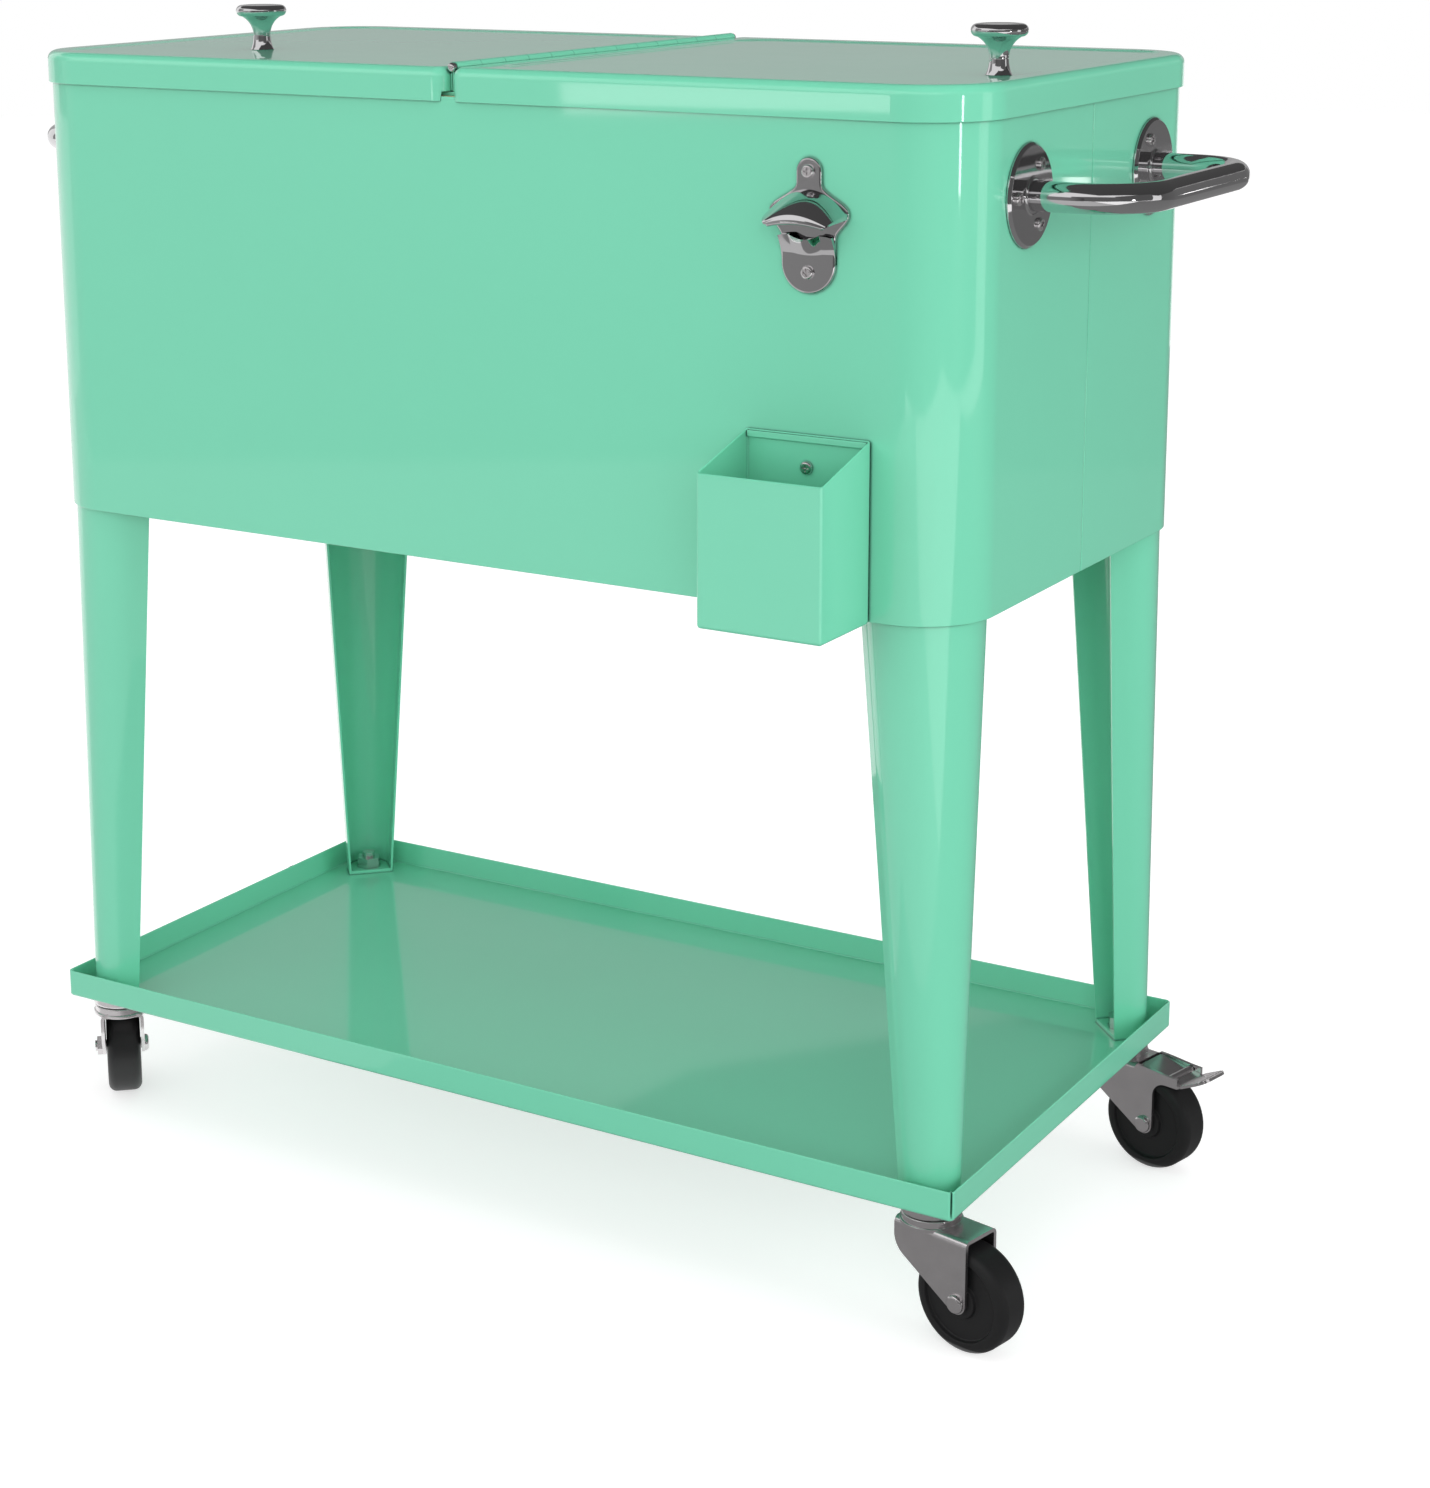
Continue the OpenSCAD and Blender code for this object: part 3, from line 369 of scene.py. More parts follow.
class Graph:
    """Adds shader nodes to one tree and joins them."""

    def __init__(self, tree: bpy.types.NodeTree) -> None:
        """Works on a tree."""
        self.tree = tree

    def feed(self, node: bpy.types.Node, feeds: dict[str | int, Any]) -> None:
        """Gives inputs of a node a value each, or joins them to another node's output."""
        for label, value in feeds.items():
            if isinstance(value, Socket):
                self.tree.links.new(value, node.inputs[label])
            else:
                node.inputs[label].default_value = value

    def add(self, kind: str, feeds: dict[str | int, Any], **traits: Any) -> bpy.types.Node:
        """A new node.

        Args:
            kind: type of the node, without its prefix.
            feeds: what goes into its inputs.
            traits: its settings.

        Returns:
            The node.
        """
        node = self.tree.nodes.new("ShaderNode" + kind)
        for trait, value in traits.items():
            setattr(node, trait, value)
        self.feed(node, feeds)
        return node

    def math(self, operation: str, *values: Any) -> Socket:
        """The result of a sum on numbers or outputs."""
        return self.add("Math", dict(enumerate(values)), operation=operation).outputs[0]

    def noise(self, vector: Socket, scale: Any, detail: float) -> Socket:
        """A noise value at a place."""
        return self.add("TexNoise", {"Vector": vector, "Scale": scale,
                                     "Detail": detail}).outputs["Fac"]

    def remap(self, value: Socket, **ends: Any) -> Socket:
        """A value mapped from one range to another; ends are from_min, from_max, to_min
        and to_max, 0 and 1 unless given."""
        feeds = {label.replace("_", " ").title(): v for label, v in ends.items()}
        return self.add("MapRange", {"Value": value, **feeds}).outputs[0]

    def scaled(self, vector: Socket, by: Socket) -> Socket:
        """A colour or vector times a number."""
        return self.add("VectorMath", {0: vector, "Scale": by}, operation="SCALE").outputs[0]

    def seen(self) -> Socket:
        """One for rays from the camera, from reflections and through glass, else zero."""
        ray = self.add("LightPath", {}).outputs
        return self.math("MAXIMUM", self.math("MAXIMUM", ray["Is Camera Ray"],
                                              ray["Is Glossy Ray"]), ray["Is Transmission Ray"])


class Effect(Enum):
    """Shader groups that several finishes share."""

    MOTTLE = "mottle"
    STREAKS = "streaks"

    def group(self) -> bpy.types.NodeTree:
        """The shader group, built the first time it is asked for.

        Mottle: the colour is the base times 1 plus or less a slow noise, the roughness has a
        middle noise added, and the height is a fine noise. Streaks: the colour is the
        base darkened in blots, and drawn lines, noise stretched along Z, add to the
        roughness and make the height.
        """
        if self.value in bpy.data.node_groups:
            return bpy.data.node_groups[self.value]
        tree = bpy.data.node_groups.new(self.value, "ShaderNodeTree")
        for way, labels in (("INPUT", ("Base", "Roughness", "Cloud", "Scuff", "Grain Scale")),
                            ("OUTPUT", ("Color", "Roughness", "Height"))):
            for label in labels:
                kind = "Color" if label in ("Base", "Color") else "Float"
                tree.interface.new_socket(label, in_out=way, socket_type="NodeSocket" + kind)
        g = Graph(tree)
        src = tree.nodes.new("NodeGroupInput").outputs
        out = tree.nodes.new("NodeGroupOutput")
        place = g.add("TexCoord", {}).outputs["Object"]
        least = g.math("SUBTRACT", 1.0, src["Cloud"])
        if self is Effect.MOTTLE:
            shade = g.remap(g.noise(place, 5.0, 2.0), from_min=0.25, from_max=0.75,
                            to_min=least, to_max=g.math("ADD", 1.0, src["Cloud"]))
            wear = g.math("SUBTRACT", g.noise(place, 38.0, 4.0), 0.5)
            height = g.noise(place, src["Grain Scale"], 2.0)
        else:
            shade = g.remap(g.noise(place, 60.0, 3.0), from_min=0.3, from_max=0.7,
                            to_min=least)
            drawn = g.add("Mapping", {"Vector": place, "Scale": (1.0, 1.0, 0.08)}).outputs[0]
            wear = height = g.noise(drawn, src["Grain Scale"], 5.0)
        g.feed(out, {"Color": g.scaled(src["Base"], shade), "Height": height,
                     "Roughness": g.math("MULTIPLY_ADD", wear, src["Scuff"],
                                         src["Roughness"])})
        return tree


def from_srgb(r: float, g: float, b: float) -> tuple[float, float, float, float]:
    """A screen colour, 0 to 255, as a linear colour with full alpha."""
    c = np.array([r, g, b]) / 255
    lin = np.where(c <= 0.04045, c / 12.92, ((c + 0.055) / 1.055) ** 2.4)
    return (*[float(x) for x in lin], 1.0)


def new_material(name: str) -> tuple[bpy.types.Material, Graph, bpy.types.Node]:
    """A material with its graph and its Principled shader."""
    mat = bpy.data.materials.new(name)
    mat.use_nodes = True
    return mat, Graph(mat.node_tree), mat.node_tree.nodes["Principled BSDF"]


@dataclass(frozen=True)
class Finish:
    """A surface finish: one Principled shader fed by a shared effect group.

    crevice_shade_mm is the depth over which painted shade darkens the colour into a narrow gap;
    zero leaves it even.
    """

    slot: str
    name: str
    color: tuple[float, float, float, float]
    roughness: float
    metallic: float = 0.0
    coat: float = 0.0
    coat_ior: float = 1.5
    coat_roughness: float = 0.04
    specular: float = 0.5
    cloud: float = 0.03
    scuff: float = 0.06
    grain: float = 600.0
    bump_mm: float = 0.01
    crevice_shade_mm: float = 0.0
    kind: Effect = Effect.MOTTLE

    def build(self) -> bpy.types.Material:
        """Makes the material."""
        mat, g, shader = new_material(self.name)
        fx = g.add("Group", {}, node_tree=self.kind.group())
        g.feed(fx, {"Base": self.color, "Roughness": self.roughness, "Cloud": self.cloud,
                    "Scuff": self.scuff, "Grain Scale": self.grain})
        bump = g.add("Bump", {"Distance": self.bump_mm * MM, "Strength": 1.0,
                              "Height": fx.outputs["Height"]})
        color = fx.outputs["Color"]
        # Painted shade: ambient occlusion darkens the base colour in narrow gaps between parts,
        # where shade falls, such as the dark line under the lid's skirt.
        if self.crevice_shade_mm > 0:
            near = g.add("AmbientOcclusion", {"Distance": self.crevice_shade_mm * MM}, samples=6)
            color = g.scaled(color, g.remap(near.outputs["AO"], from_min=0.35, from_max=0.85,
                                            to_min=0.1))
        g.feed(shader, {
            "Base Color": color, "Roughness": fx.outputs["Roughness"],
            "Normal": bump.outputs["Normal"], "Metallic": self.metallic,
            "Coat Weight": self.coat, "Coat IOR": self.coat_ior,
            "Coat Roughness": self.coat_roughness, "Specular IOR Level": self.specular})
        return mat


FINISHES = (
    # The mint paint carries painted shade in narrow gaps, set by its crevice_shade_mm.
    Finish("painted_steel", "mint_powder_coat", from_srgb(112, 208, 173), 0.32, coat=0.9,
           coat_ior=1.65, cloud=0.012, scuff=0.05, grain=420.0, bump_mm=0.004,
           crevice_shade_mm=2.4),
    Finish("chrome", "polished_chrome", (0.62, 0.61, 0.62, 1.0), 0.06, metallic=1.0,
           scuff=0.05, grain=160.0, bump_mm=0.004),
    Finish("bright_steel", "zinc_plate", (0.78, 0.75, 0.76, 1.0), 0.2, metallic=1.0,
           cloud=0.08, grain=260.0, bump_mm=0.0005, kind=Effect.STREAKS),
    Finish("wheel_black", "black_wheel", from_srgb(24, 24, 25), 0.45, cloud=0.12, scuff=0.18,
           grain=900.0, bump_mm=0.02),
    Finish("liner", "white_liner", from_srgb(232, 234, 233), 0.4, cloud=0.015, scuff=0.1,
           grain=800.0),
    Finish("foam", "cut_foam", from_srgb(226, 208, 160), 0.9, cloud=0.1, scuff=0.05,
           grain=1500.0, bump_mm=0.2),
)


def dress_nodes(materials: Materials) -> None:
    """Gives every CAD node, whose own shape shows until a piece replaces it, its finish."""
    slots = {p["node"]: p["material_slot"] for p in frame["record"]["subparts"]}
    for name, obj in frame["nodes"].items():
        if not obj.material_slots:
            obj.data.materials.append(materials[slots[name]])
        for place in obj.material_slots:
            place.material = materials[slots[name]]
        log.info("%s: CAD node dressed as %s", name, slots[name])


# ---------------------------------------------------------------- tub and lids


@dataclass
class PaintedTub:
    """The wrapped outer sheet of the tub, with its butt seam in the right end."""

    materials: Materials
    corner_r: float = 47.5
    sheet_t: float = 1.2
    edge_h: float = 8.0
    groove_depth: float = 0.9
    groove_half: float = 0.45
    notch_half: float = 1.2
    notch_h: float = 3.0

    def build(self) -> None:
        """Walks a wall section with rolled lower edges round the plan, as one closed skin."""
        lo, hi = box_mm("tub_skin")
        plan = Plan(lo, hi, self.corner_r, 24)
        t, z0, z1 = self.sheet_t, lo[2], hi[2]
        heights = np.linspace(z0 + self.edge_h, z1 - self.edge_h, 5)
        rings = [plan.level(0.0, z) for z in (z1, *heights[::-1])]
        rings += plan.bend(t / 2, z0 + t / 2, t / 2, 0, -180, 7)
        rings += [plan.level(t, z) for z in (*heights, z1)]
        Shell().rings([self.seamed(ring, lo, hi) for ring in rings], closed=True).piece(
            "tub_outer_skin", "frame", "painted_steel", self.materials, ["tub_skin"])

    def seamed(self, ring: Array, lo: Array, hi: Array) -> Array:
        """Sinks the seam: on the right end x falls by depth exp(-(y / half)^2), y from the
        middle, and half grows towards a small notch at the lower edge."""
        y = ring[:, 1] - (lo[1] + hi[1]) / 2
        on_end = ring[:, 0] > hi[0] - 2
        low = np.clip(1 - (ring[:, 2] - lo[2]) / self.notch_h, 0, 1)
        half = self.groove_half + self.notch_half * low
        depth = np.where(on_end, self.groove_depth * np.exp(-((y / half) ** 2)), 0.0)
        return ring - depth[:, None] * [1, 0, 0]


@dataclass
class HalfLid:
    """One pressed lid: skirt, rolled edge, flat border and a shallow sunk field."""

    materials: Materials
    side: int
    outer_r: float = 50.0
    inner_r: float = 9.0
    edge_r: float = 6.0
    sheet_t: float = 1.0
    border: float = 22.0
    field_r: float = 20.0
    field_slope: float = 5.0
    field_depth: float = 0.8
    rim_clear: float = 5.8
    rim_reach: float = 2.2

    def build(self) -> None:
        """Rings of the plan, each with its own inset and height, make the pan as one skin."""
        name = ENDS[self.side] + "_lid"
        lo, hi = box_mm(name)
        big, small = self.outer_r, self.inner_r
        radii = (big, small, small, big) if self.side > 0 else (small, big, big, small)
        plan = Plan(lo, hi, radii, 16)
        top, t, e, w = hi[2], self.sheet_t, self.edge_r, self.field_slope

        def field(below: float) -> list[Array]:
            """Rings from the border down the slope into the field, this far below."""
            return [plan.level(self.border - w * (1 - s) - below / 2,
                               top - below - self.field_depth * smooth(s),
                               corner=self.field_r + w * (1 - s))
                    for s in np.linspace(0, 1, 9)]

        rings = field(t)[::-1] + plan.bend(e, top - e, e - t, 90, 0, 6)
        rings += plan.bend(t / 2, self.skirt_line(plan) + t / 2, -t / 2, 0, 180, 7)
        rings += plan.bend(e, top - e, e, 0, 90, 11) + field(0.0)
        Shell().rings(rings).piece(name + "_pan", name + "_assembly", "painted_steel",
                                   self.materials, [name])

    def skirt_line(self, plan: Plan) -> Array:
        """Height of the skirt's lower edge: cut back over the tub's rim at the inner end."""
        x, y = plan.ring(0.0).T
        half = (plan.hi[1] - plan.lo[1]) / 2 - self.rim_reach
        cut = (np.abs(x) < self.inner_r + 2) & (
            np.abs(y - (plan.lo[1] + plan.hi[1]) / 2) < half)
        return plan.lo[2] + np.where(cut, self.rim_clear, 0.0)


@dataclass
class LidKnob:
    """Turned knob: flared foot, grooved waist, trumpet and a round-rimmed cap."""

    materials: Materials
    side: int
    cap_r: float = 17.0
    cap_h: float = 7.5
    crown_in: float = 4.6
    crown_half: float = 0.7
    crown_cut: float = 0.4
    crown_r: float = 8.0
    waist_r: float = 5.8
    waist_z: float = 9.5
    groove: float = 0.6
    chamfer: float = 0.12
    foot_r: float = 7.7
    foot_edge: float = 0.3
    foot_sweep: float = 21.6

    def build(self) -> None:
        """Turns the knob's profile about its upright axis."""
        name = ENDS[self.side] + "_knob"
        lo, hi = box_mm(name)
        h, r, c = hi[2] - lo[2], self.cap_r, self.chamfer
        w, z0, cut, curve = self.waist_r, self.waist_z, self.groove, self.foot_sweep
        low = math.degrees(math.asin((z0 - self.foot_edge) / curve))
        foot = join([[0, 0], [self.foot_r, 0]],
                    arc(w + curve, z0, curve, 180 + low, 180, 12))
        ring = join([[w, z0], [w - cut, z0 + c], [w - cut, z0 + cut - c], [w, z0 + cut]])
        sweep = h - self.cap_h - z0 + 1
        high = math.degrees(math.asin((h - self.cap_h - z0 - cut) / sweep))
        trumpet = arc(w + sweep, z0 + cut, sweep, 180, 180 - high, 20)
        rim = arc(r - self.cap_h / 2, h - self.cap_h / 2, self.cap_h / 2, -90, 90, 20)
        lip, half = r - self.crown_in, self.crown_half
        crown = np.array([[lip, h - c], [lip - half, h - self.crown_cut],
                          [lip - 2 * half, h - c], [self.crown_r, h - 0.02], [0.0, h]])
        revolve(join(foot, ring, trumpet, rim, crown), 80).moved(
            shifted((lo[0] + hi[0]) / 2, (lo[1] + hi[1]) / 2, lo[2])).piece(
            name + "_turned", ENDS[self.side] + "_lid_assembly", "chrome", self.materials,
            [name])


# ---------------------------------------------------------------- chrome fittings


@dataclass
class EndHandle:
    """Bent tube handle with its two screwed flanges."""

    materials: Materials
    side: int
    tube_r: float = 9.0
    bend_r: float = 38.0
    half: float = 95.0
    flange_r: float = 31.0
    bevel: float = 1.8
    edge: float = 0.5
    back_edge: float = 0.3
    bore_gap: float = 0.05
    collar_h: float = 1.5
    collar_w: float = 1.6
    collar_round: float = 0.7
    fillet: float = 1.4

    def build(self) -> None:
        """Sweeps the tube along its bent path and turns the flanges."""
        name, side = ENDS[self.side] + "_handle", self.side
        lo, hi = box_mm(name)
        skin = box_mm("tub_skin")[1 if side > 0 else 0][0]
        reach = (hi[0] - skin if side > 0 else skin - lo[0]) - self.tube_r
        middle = (lo + hi) / 2

        def place(p: Array) -> Array:
            """Carries a shape drawn along +X to its end of the tub."""
            return p * [side, side, 1] + [skin, middle[1], middle[2]]

        b, h = self.bend_r, self.half
        out = join(np.column_stack([np.linspace(0, reach - b, 8), np.full(8, -h)]),
                   arc(reach - b, b - h, b, -90, 0, 20),
                   np.column_stack([np.full(12, reach), np.linspace(b - h, h - b, 12)]),
                   arc(reach - b, h - b, b, 0, 90, 20),
                   np.column_stack([np.linspace(reach - b, 0, 8), np.full(8, h)]))
        path = np.column_stack([out, np.zeros(len(out))])
        Shell().rings(tube(path, self.tube_r, (0, 0, 1), 40)).moved(place).piece(
            name + "_tube", "frame", "chrome", self.materials, [name])
        rose_lo, rose_hi = box_mm(name + "_flanges")
        profile = self.flange_profile(rose_hi[0] - rose_lo[0] - self.collar_h)
        discs = [revolve(profile, 96, bored=True).moved(turned("Y", 90), shifted(0, y, 0))
                 for y in (-h, h)]
        Shell().add(*discs).moved(place).piece(name + "_roses", "frame", "chrome",
                                               self.materials, [name + "_flanges"], sharp=40)

    def flange_profile(self, t: float) -> Array:
        """Radius and height of the flange: a flat disc of thickness t with a bevelled rim and
        a low collar round the tube."""
        r, c, e, f, q = self.flange_r, self.tube_r, self.edge, self.fillet, self.collar_round
        bore, collar, in_by = c + self.bore_gap, c + self.collar_w, self.bevel + 0.2
        return join([[bore, 0.0], [r - self.back_edge, 0.0], [r, self.back_edge]],
                    arc(r - e, t - in_by, e, 0, 45, 3), arc(r - in_by, t - e, e, 45, 90, 3),
                    arc(collar + f, t + f, f, 270, 180, 6),
                    arc(collar - q, t + self.collar_h - q, q, 0, 90, 4),
                    [[bore, t + self.collar_h]])


@dataclass
class BottleOpener:
    """Cast opener: a shaped back plate, a flowing hood with a bright lip, and a tongue.

    Its own axes are u across, v up from the top edge and w out from the tub.
    """

    materials: Materials
    plate_t: float = 2.5
    tab_r: float = 8.2
    shoulder_v: tuple[float, float] = (-15.0, -31.0)
    waist_v: tuple[float, float] = (-33.0, -47.0)
    foot_half: float = 17.6
    height: float = 79.0
    hood_half: float = 26.0
    root_v: float = -31.5
    root_rise: float = 13.5
    root_w: float = 1.4
    lip_half: float = 19.5
    lip_v: float = -38.0
    lip_rise: float = 2.6
    lip_r: float = 1.35
    reach: float = 21.5
    wing_fall: float = 1.6
    tongue_v: tuple[float, float] = (-62.0, -44.2)
    tongue_w: float = 1.6
    tongue_rise: float = 6.9
    hollow: float = 2.6
    hollow_half: float = 9.5

    def build(self) -> None:
        """Builds the three parts of the casting as one piece."""
        lo, hi = box_mm("bottle_opener")

        def place(p: Array) -> Array:
            """From u, v, w to the row frame."""
            return np.column_stack([(lo[0] + hi[0]) / 2 + p[:, 0], hi[1] - p[:, 2],
                                    hi[2] + p[:, 1]])

        self.plate().add(self.hood(), self.tongue()).moved(place).piece(
            "opener_casting", "frame", "chrome", self.materials, ["bottle_opener"], sharp=48)

    def half_outline(self) -> Array:
        """Half width and height from the top of the tab down to the foot.

        The tab is an arc, the shoulders follow half a cosine wave out and in, and the foot
        is half a circle.
        """
        a, r, f, h = np.linspace(0, 1, 14), self.tab_r, self.foot_half, self.hood_half
        out = np.column_stack([r + (h - r) * smooth(a), np.linspace(*self.shoulder_v, 14)])
        back = np.column_stack([h - (h - f) * smooth(a), np.linspace(*self.waist_v, 14)])
        return join(arc(0, -r, r, 90, 0, 12), out, back,
                    arc(0, f - self.height, f, 0, -90, 14))

    def plate(self) -> Shell:
        """The back plate: its outline carried out and drawn in round the front edge."""
        right, t = self.half_outline(), self.plate_t
        line = join(right, (right * [-1, 1])[::-1][1:-1])
        step = np.roll(line, -1, 0) - np.roll(line, 1, 0)
        normal = np.stack([step[:, 1], -step[:, 0]], 1)
        normal /= np.linalg.norm(normal, axis=1, keepdims=True)
        rows = [(0.0, 0.0), (0.0, t - 1.0), (0.25, t - 0.4), (0.8, t - 0.05), (1.3, t)]
        return Shell().rings([np.column_stack([line + normal * inset, np.full(len(line), w)])
                              for inset, w in rows])

    def hood(self) -> Shell:
        """The hood: rows run from a root curve on the plate to a lip that stands clear of it.

        Across s from -1 to 1 the root and the lip are each half a width times s, at a
        height plus a rise times (1 - s^2). Along t from 0 to 1 the distance from the plate
        grows as sin(t pi / 2)^0.85 to the lip's own, less a fall times s^2 at its ends. The
        inner face narrows by 0.07 t, lies 0.5 + 2.4 (1 - t) lower and 0.9 + 2.3 t nearer the
        plate.
        """
        s, t = np.linspace(-1, 1, 49)[None, :], np.linspace(0, 1, 25)[:, None]
        arch = 1 - s ** 2
        root_u, root_v = (self.hood_half - 0.4) * s, self.root_v + self.root_rise * arch
        lip_u, lip_v = self.lip_half * s, self.lip_v + self.lip_rise * arch
        u = root_u + (lip_u - root_u) * t ** 1.3
        v = root_v + (lip_v - root_v) * t
        far = self.reach - self.root_w - self.wing_fall * s ** 2
        w = self.root_w + far * np.sin(t * np.pi / 2) ** 0.85
        outer = grid_of(u, v, w)
        inner = grid_of(u * (1 - 0.07 * t), v - 2.4 * (1 - t) - 0.5,
                        np.maximum(w - 2.3 * t - 0.9, 0.3))
        edge = (outer[-1] + inner[-1]) / 2
        return Shell().sheet(outer, inner).rings(tube(edge, self.lip_r, (0, 1, 0), 14, 0.35))

    def tongue(self) -> Shell:
        """The tongue: a plate that rises as t^2 from the foot to a hollowed upper edge.

        The edge falls by 1.2 |s|^6 towards its ends, and the rise is less by 0.2 |s|^4.
        """
        s, t = np.linspace(-1, 1, 41)[None, :], np.linspace(0, 1, 17)[:, None]
        u, (v0, v1) = self.foot_half * s, self.tongue_v
        hollow = self.hollow * np.maximum(1 - (u / self.hollow_half) ** 2, 0)
        top = v1 - hollow - 1.2 * np.abs(s) ** 6
        w = self.tongue_w + self.tongue_rise * t ** 2 * (1 - 0.2 * np.abs(s) ** 4)
        outer = grid_of(u, v0 + (top - v0) * t, w)
        return Shell().sheet(outer, outer - [0, -0.4, 2.0])


# ---------------------------------------------------------------- folded sheet


@dataclass
class CapCatcher:
    """Open folded box with a sloping top edge, hung on two screws by keyholes."""

    materials: Materials
    sheet_t: float = 1.2
    fold_r: float = 2.2
    fall: float = 17.0
    hem_gap: float = 0.2
    hem_r: float = 0.4
    hem_z: tuple[float, float] = (5.0, 1.0)

    def build(self) -> None:
        """Rings of the box's plan from the floor up the outside and down the inside, and the
        hem inside the rear edge."""
        lo, hi = box_mm("cap_catcher")
        r, t, g, c = self.fold_r, self.sheet_t, self.hem_gap, self.hem_r
        plan, fold_z = Plan(lo, hi, r, 6), lo[2] + r

        def wall(inset: float, *shares: float) -> list[Array]:
            """Rings at shares of the way from the fold to the sloping edge."""
            ring = plan.level(inset, 0.0)
            top = hi[2] - self.fall * (hi[1] - ring[:, 1]) / (hi[1] - lo[1])
            return [np.column_stack([ring[:, :2], fold_z + f * (top - fold_z)])
                    for f in shares]

        shares = (0.25, 0.5, 0.75, 0.985, 0.995)
        rings = plan.bend(r, fold_z, r, -90, 0, 6) + wall(0.0, *shares)
        rings += wall(t / 2, 1.0) + wall(t, *shares[::-1])
        rings += plan.bend(r, fold_z, r - t, 0, -90, 6, 0.3)
        hem = Plan((lo[0] + t + g, hi[1] - 2 * t - 0.5), (hi[0] - t - g, hi[1] - t + 0.1), c, 3)
        low, high = hi[2] - np.array(self.hem_z)
        edge = [(c, low), (0, low + 0.6), (0, high - 0.6), (c, high)]
        Shell().rings(rings).rings([hem.level(*at) for at in edge]).piece(
            "catcher_box", "catcher", "painted_steel", self.materials, ["cap_catcher"])


@dataclass
class Leg:
    """Folded leg: an open channel with a round nose that narrows towards the foot."""

    materials: Materials
    name: str
    corner: tuple[int, int]
    foot_r: float = 17.5
    foot_side: float = 12.0
    top_r: float = 37.0
    top_side: float = 11.0
    wall: float = 1.6
    foot_t: float = 3.0
    head_t: float = 2.0
    rim_share: float = 0.7

    def channel(self, r: Array, side: Array) -> Array:
        """Open section at every height: a flank, half a circle and the other flank.

        The flanks have their own columns, so rows match between the outside and the inside.
        """
        a = np.linspace(-np.pi / 2, np.pi / 2, 33)[None, :]
        nose = np.stack([r * np.cos(a), r * np.sin(a)], -1)
        f = np.linspace(1, 0, 7)[None, :-1]
        flank = np.stack([-side * f, -r + 0 * f], -1)
        return np.concatenate([flank, nose, (flank * [1, -1])[:, ::-1]], axis=1)

    def build(self) -> None:
        """Lofts the channel from the stem's place to the tub, and closes foot and head."""
        node = self.name + "_leg"
        lo, hi = box_mm(node)
        z = np.linspace(lo[2], hi[2], 15)[:, None]
        f = (z - lo[2]) / (hi[2] - lo[2])
        r = self.foot_r + (self.top_r - self.foot_r) * f
        side = self.foot_side + (self.top_side - self.foot_side) * f
        foot_xy, top_xy = self.centres(lo, hi)
        spot = foot_xy + (top_xy - foot_xy) * f

        def placed(sec: Array) -> Array:
            """Turns a section to face its corner and carries it to its height."""
            across, ahead = sec[..., 0] * math.sqrt(0.5), sec[..., 1] * math.sqrt(0.5)
            return grid_of((across - ahead) * self.corner[0] + spot[:, :1],
                           (across + ahead) * self.corner[1] + spot[:, 1:], z)

        out, inn = placed(self.channel(r, side)), placed(self.channel(r - self.wall, side))
        shell = Shell().sheet(out, inn)
        for row, dz in ((0, self.foot_t), (-1, -self.head_t)):
            flat = out[row] * (1 - self.rim_share) + inn[row] * self.rim_share
            shell.rings([flat, flat + [0, 0, dz]])
        shell.piece(node + "_channel", "frame", "painted_steel", self.materials, [node])

    def centres(self, lo: Array, hi: Array) -> tuple[Array, Array]:
        """Plan centres of the nose: over the caster's stem at the foot, and one top radius
        inside the node's outer sides at the top."""
        stem_lo, stem_hi = box_mm(self.name + "_caster_stem")
        sign = np.array(self.corner)
        outer = np.where(sign > 0, hi[:2], lo[:2])
        return (stem_lo + stem_hi)[:2] / 2, outer - sign * self.top_r


@dataclass
class Shelf:
    """Folded tray shelf with an open slit where its rims meet at each corner."""

    materials: Materials
    sheet_t: float = 1.2
    fold_r: float = 2.4
    corner_r: float = 3.5
    least_r: float = 1.1
    slit_depth: float = 1.5
    slit_half: float = 0.7
    slit_reach: float = 6.0

    def build(self) -> None:
        """Rings from the underside round the fold, up the rim and down to the floor."""
        lo, hi = box_mm("shelf")
        r, t, least, fold_z = self.fold_r, self.sheet_t, self.least_r, lo[2] + self.fold_r
        plan = Plan(lo, hi, self.corner_r, 16)
        top = hi[2] - t / 2
        wall = np.linspace(lo[2] + 6, top - 2, 4)
        rings = plan.bend(r, fold_z, r, -90, 0, 6, least)
        rings += [plan.level(0.0, z) for z in wall]
        rings += plan.bend(t / 2, top, t / 2, 0, 180, 7)
        rings += [plan.level(t, z) for z in wall[::-1]]
        rings += plan.bend(r, fold_z, r - t, 0, -90, 6, least)
        Shell().rings([self.slit(ring, lo, hi) for ring in rings]).piece(
            "shelf_tray", "frame", "painted_steel", self.materials, ["shelf"])

    def slit(self, ring: Array, lo: Array, hi: Array) -> Array:
        """Draws the corners in along the diagonal by depth exp(-(d / half)^2), d being the
        distance from the diagonal, above the fold."""
        out = ring.copy()
        for sx, sy in ((1, 1), (-1, 1), (-1, -1), (1, -1)):
            cx, cy = (hi[0] if sx > 0 else lo[0]), (hi[1] if sy > 0 else lo[1])
            u, v = (cx - ring[:, 0]) * sx, (cy - ring[:, 1]) * sy
            near = (np.maximum(u, v) < self.slit_reach) & (ring[:, 2] > lo[2] + self.fold_r)
            depth = self.slit_depth * np.exp(-(((u - v) / self.slit_half) ** 2)) * near
            out[:, :2] -= depth[:, None] * [sx, sy]
        return out


# ---------------------------------------------------------------- casters


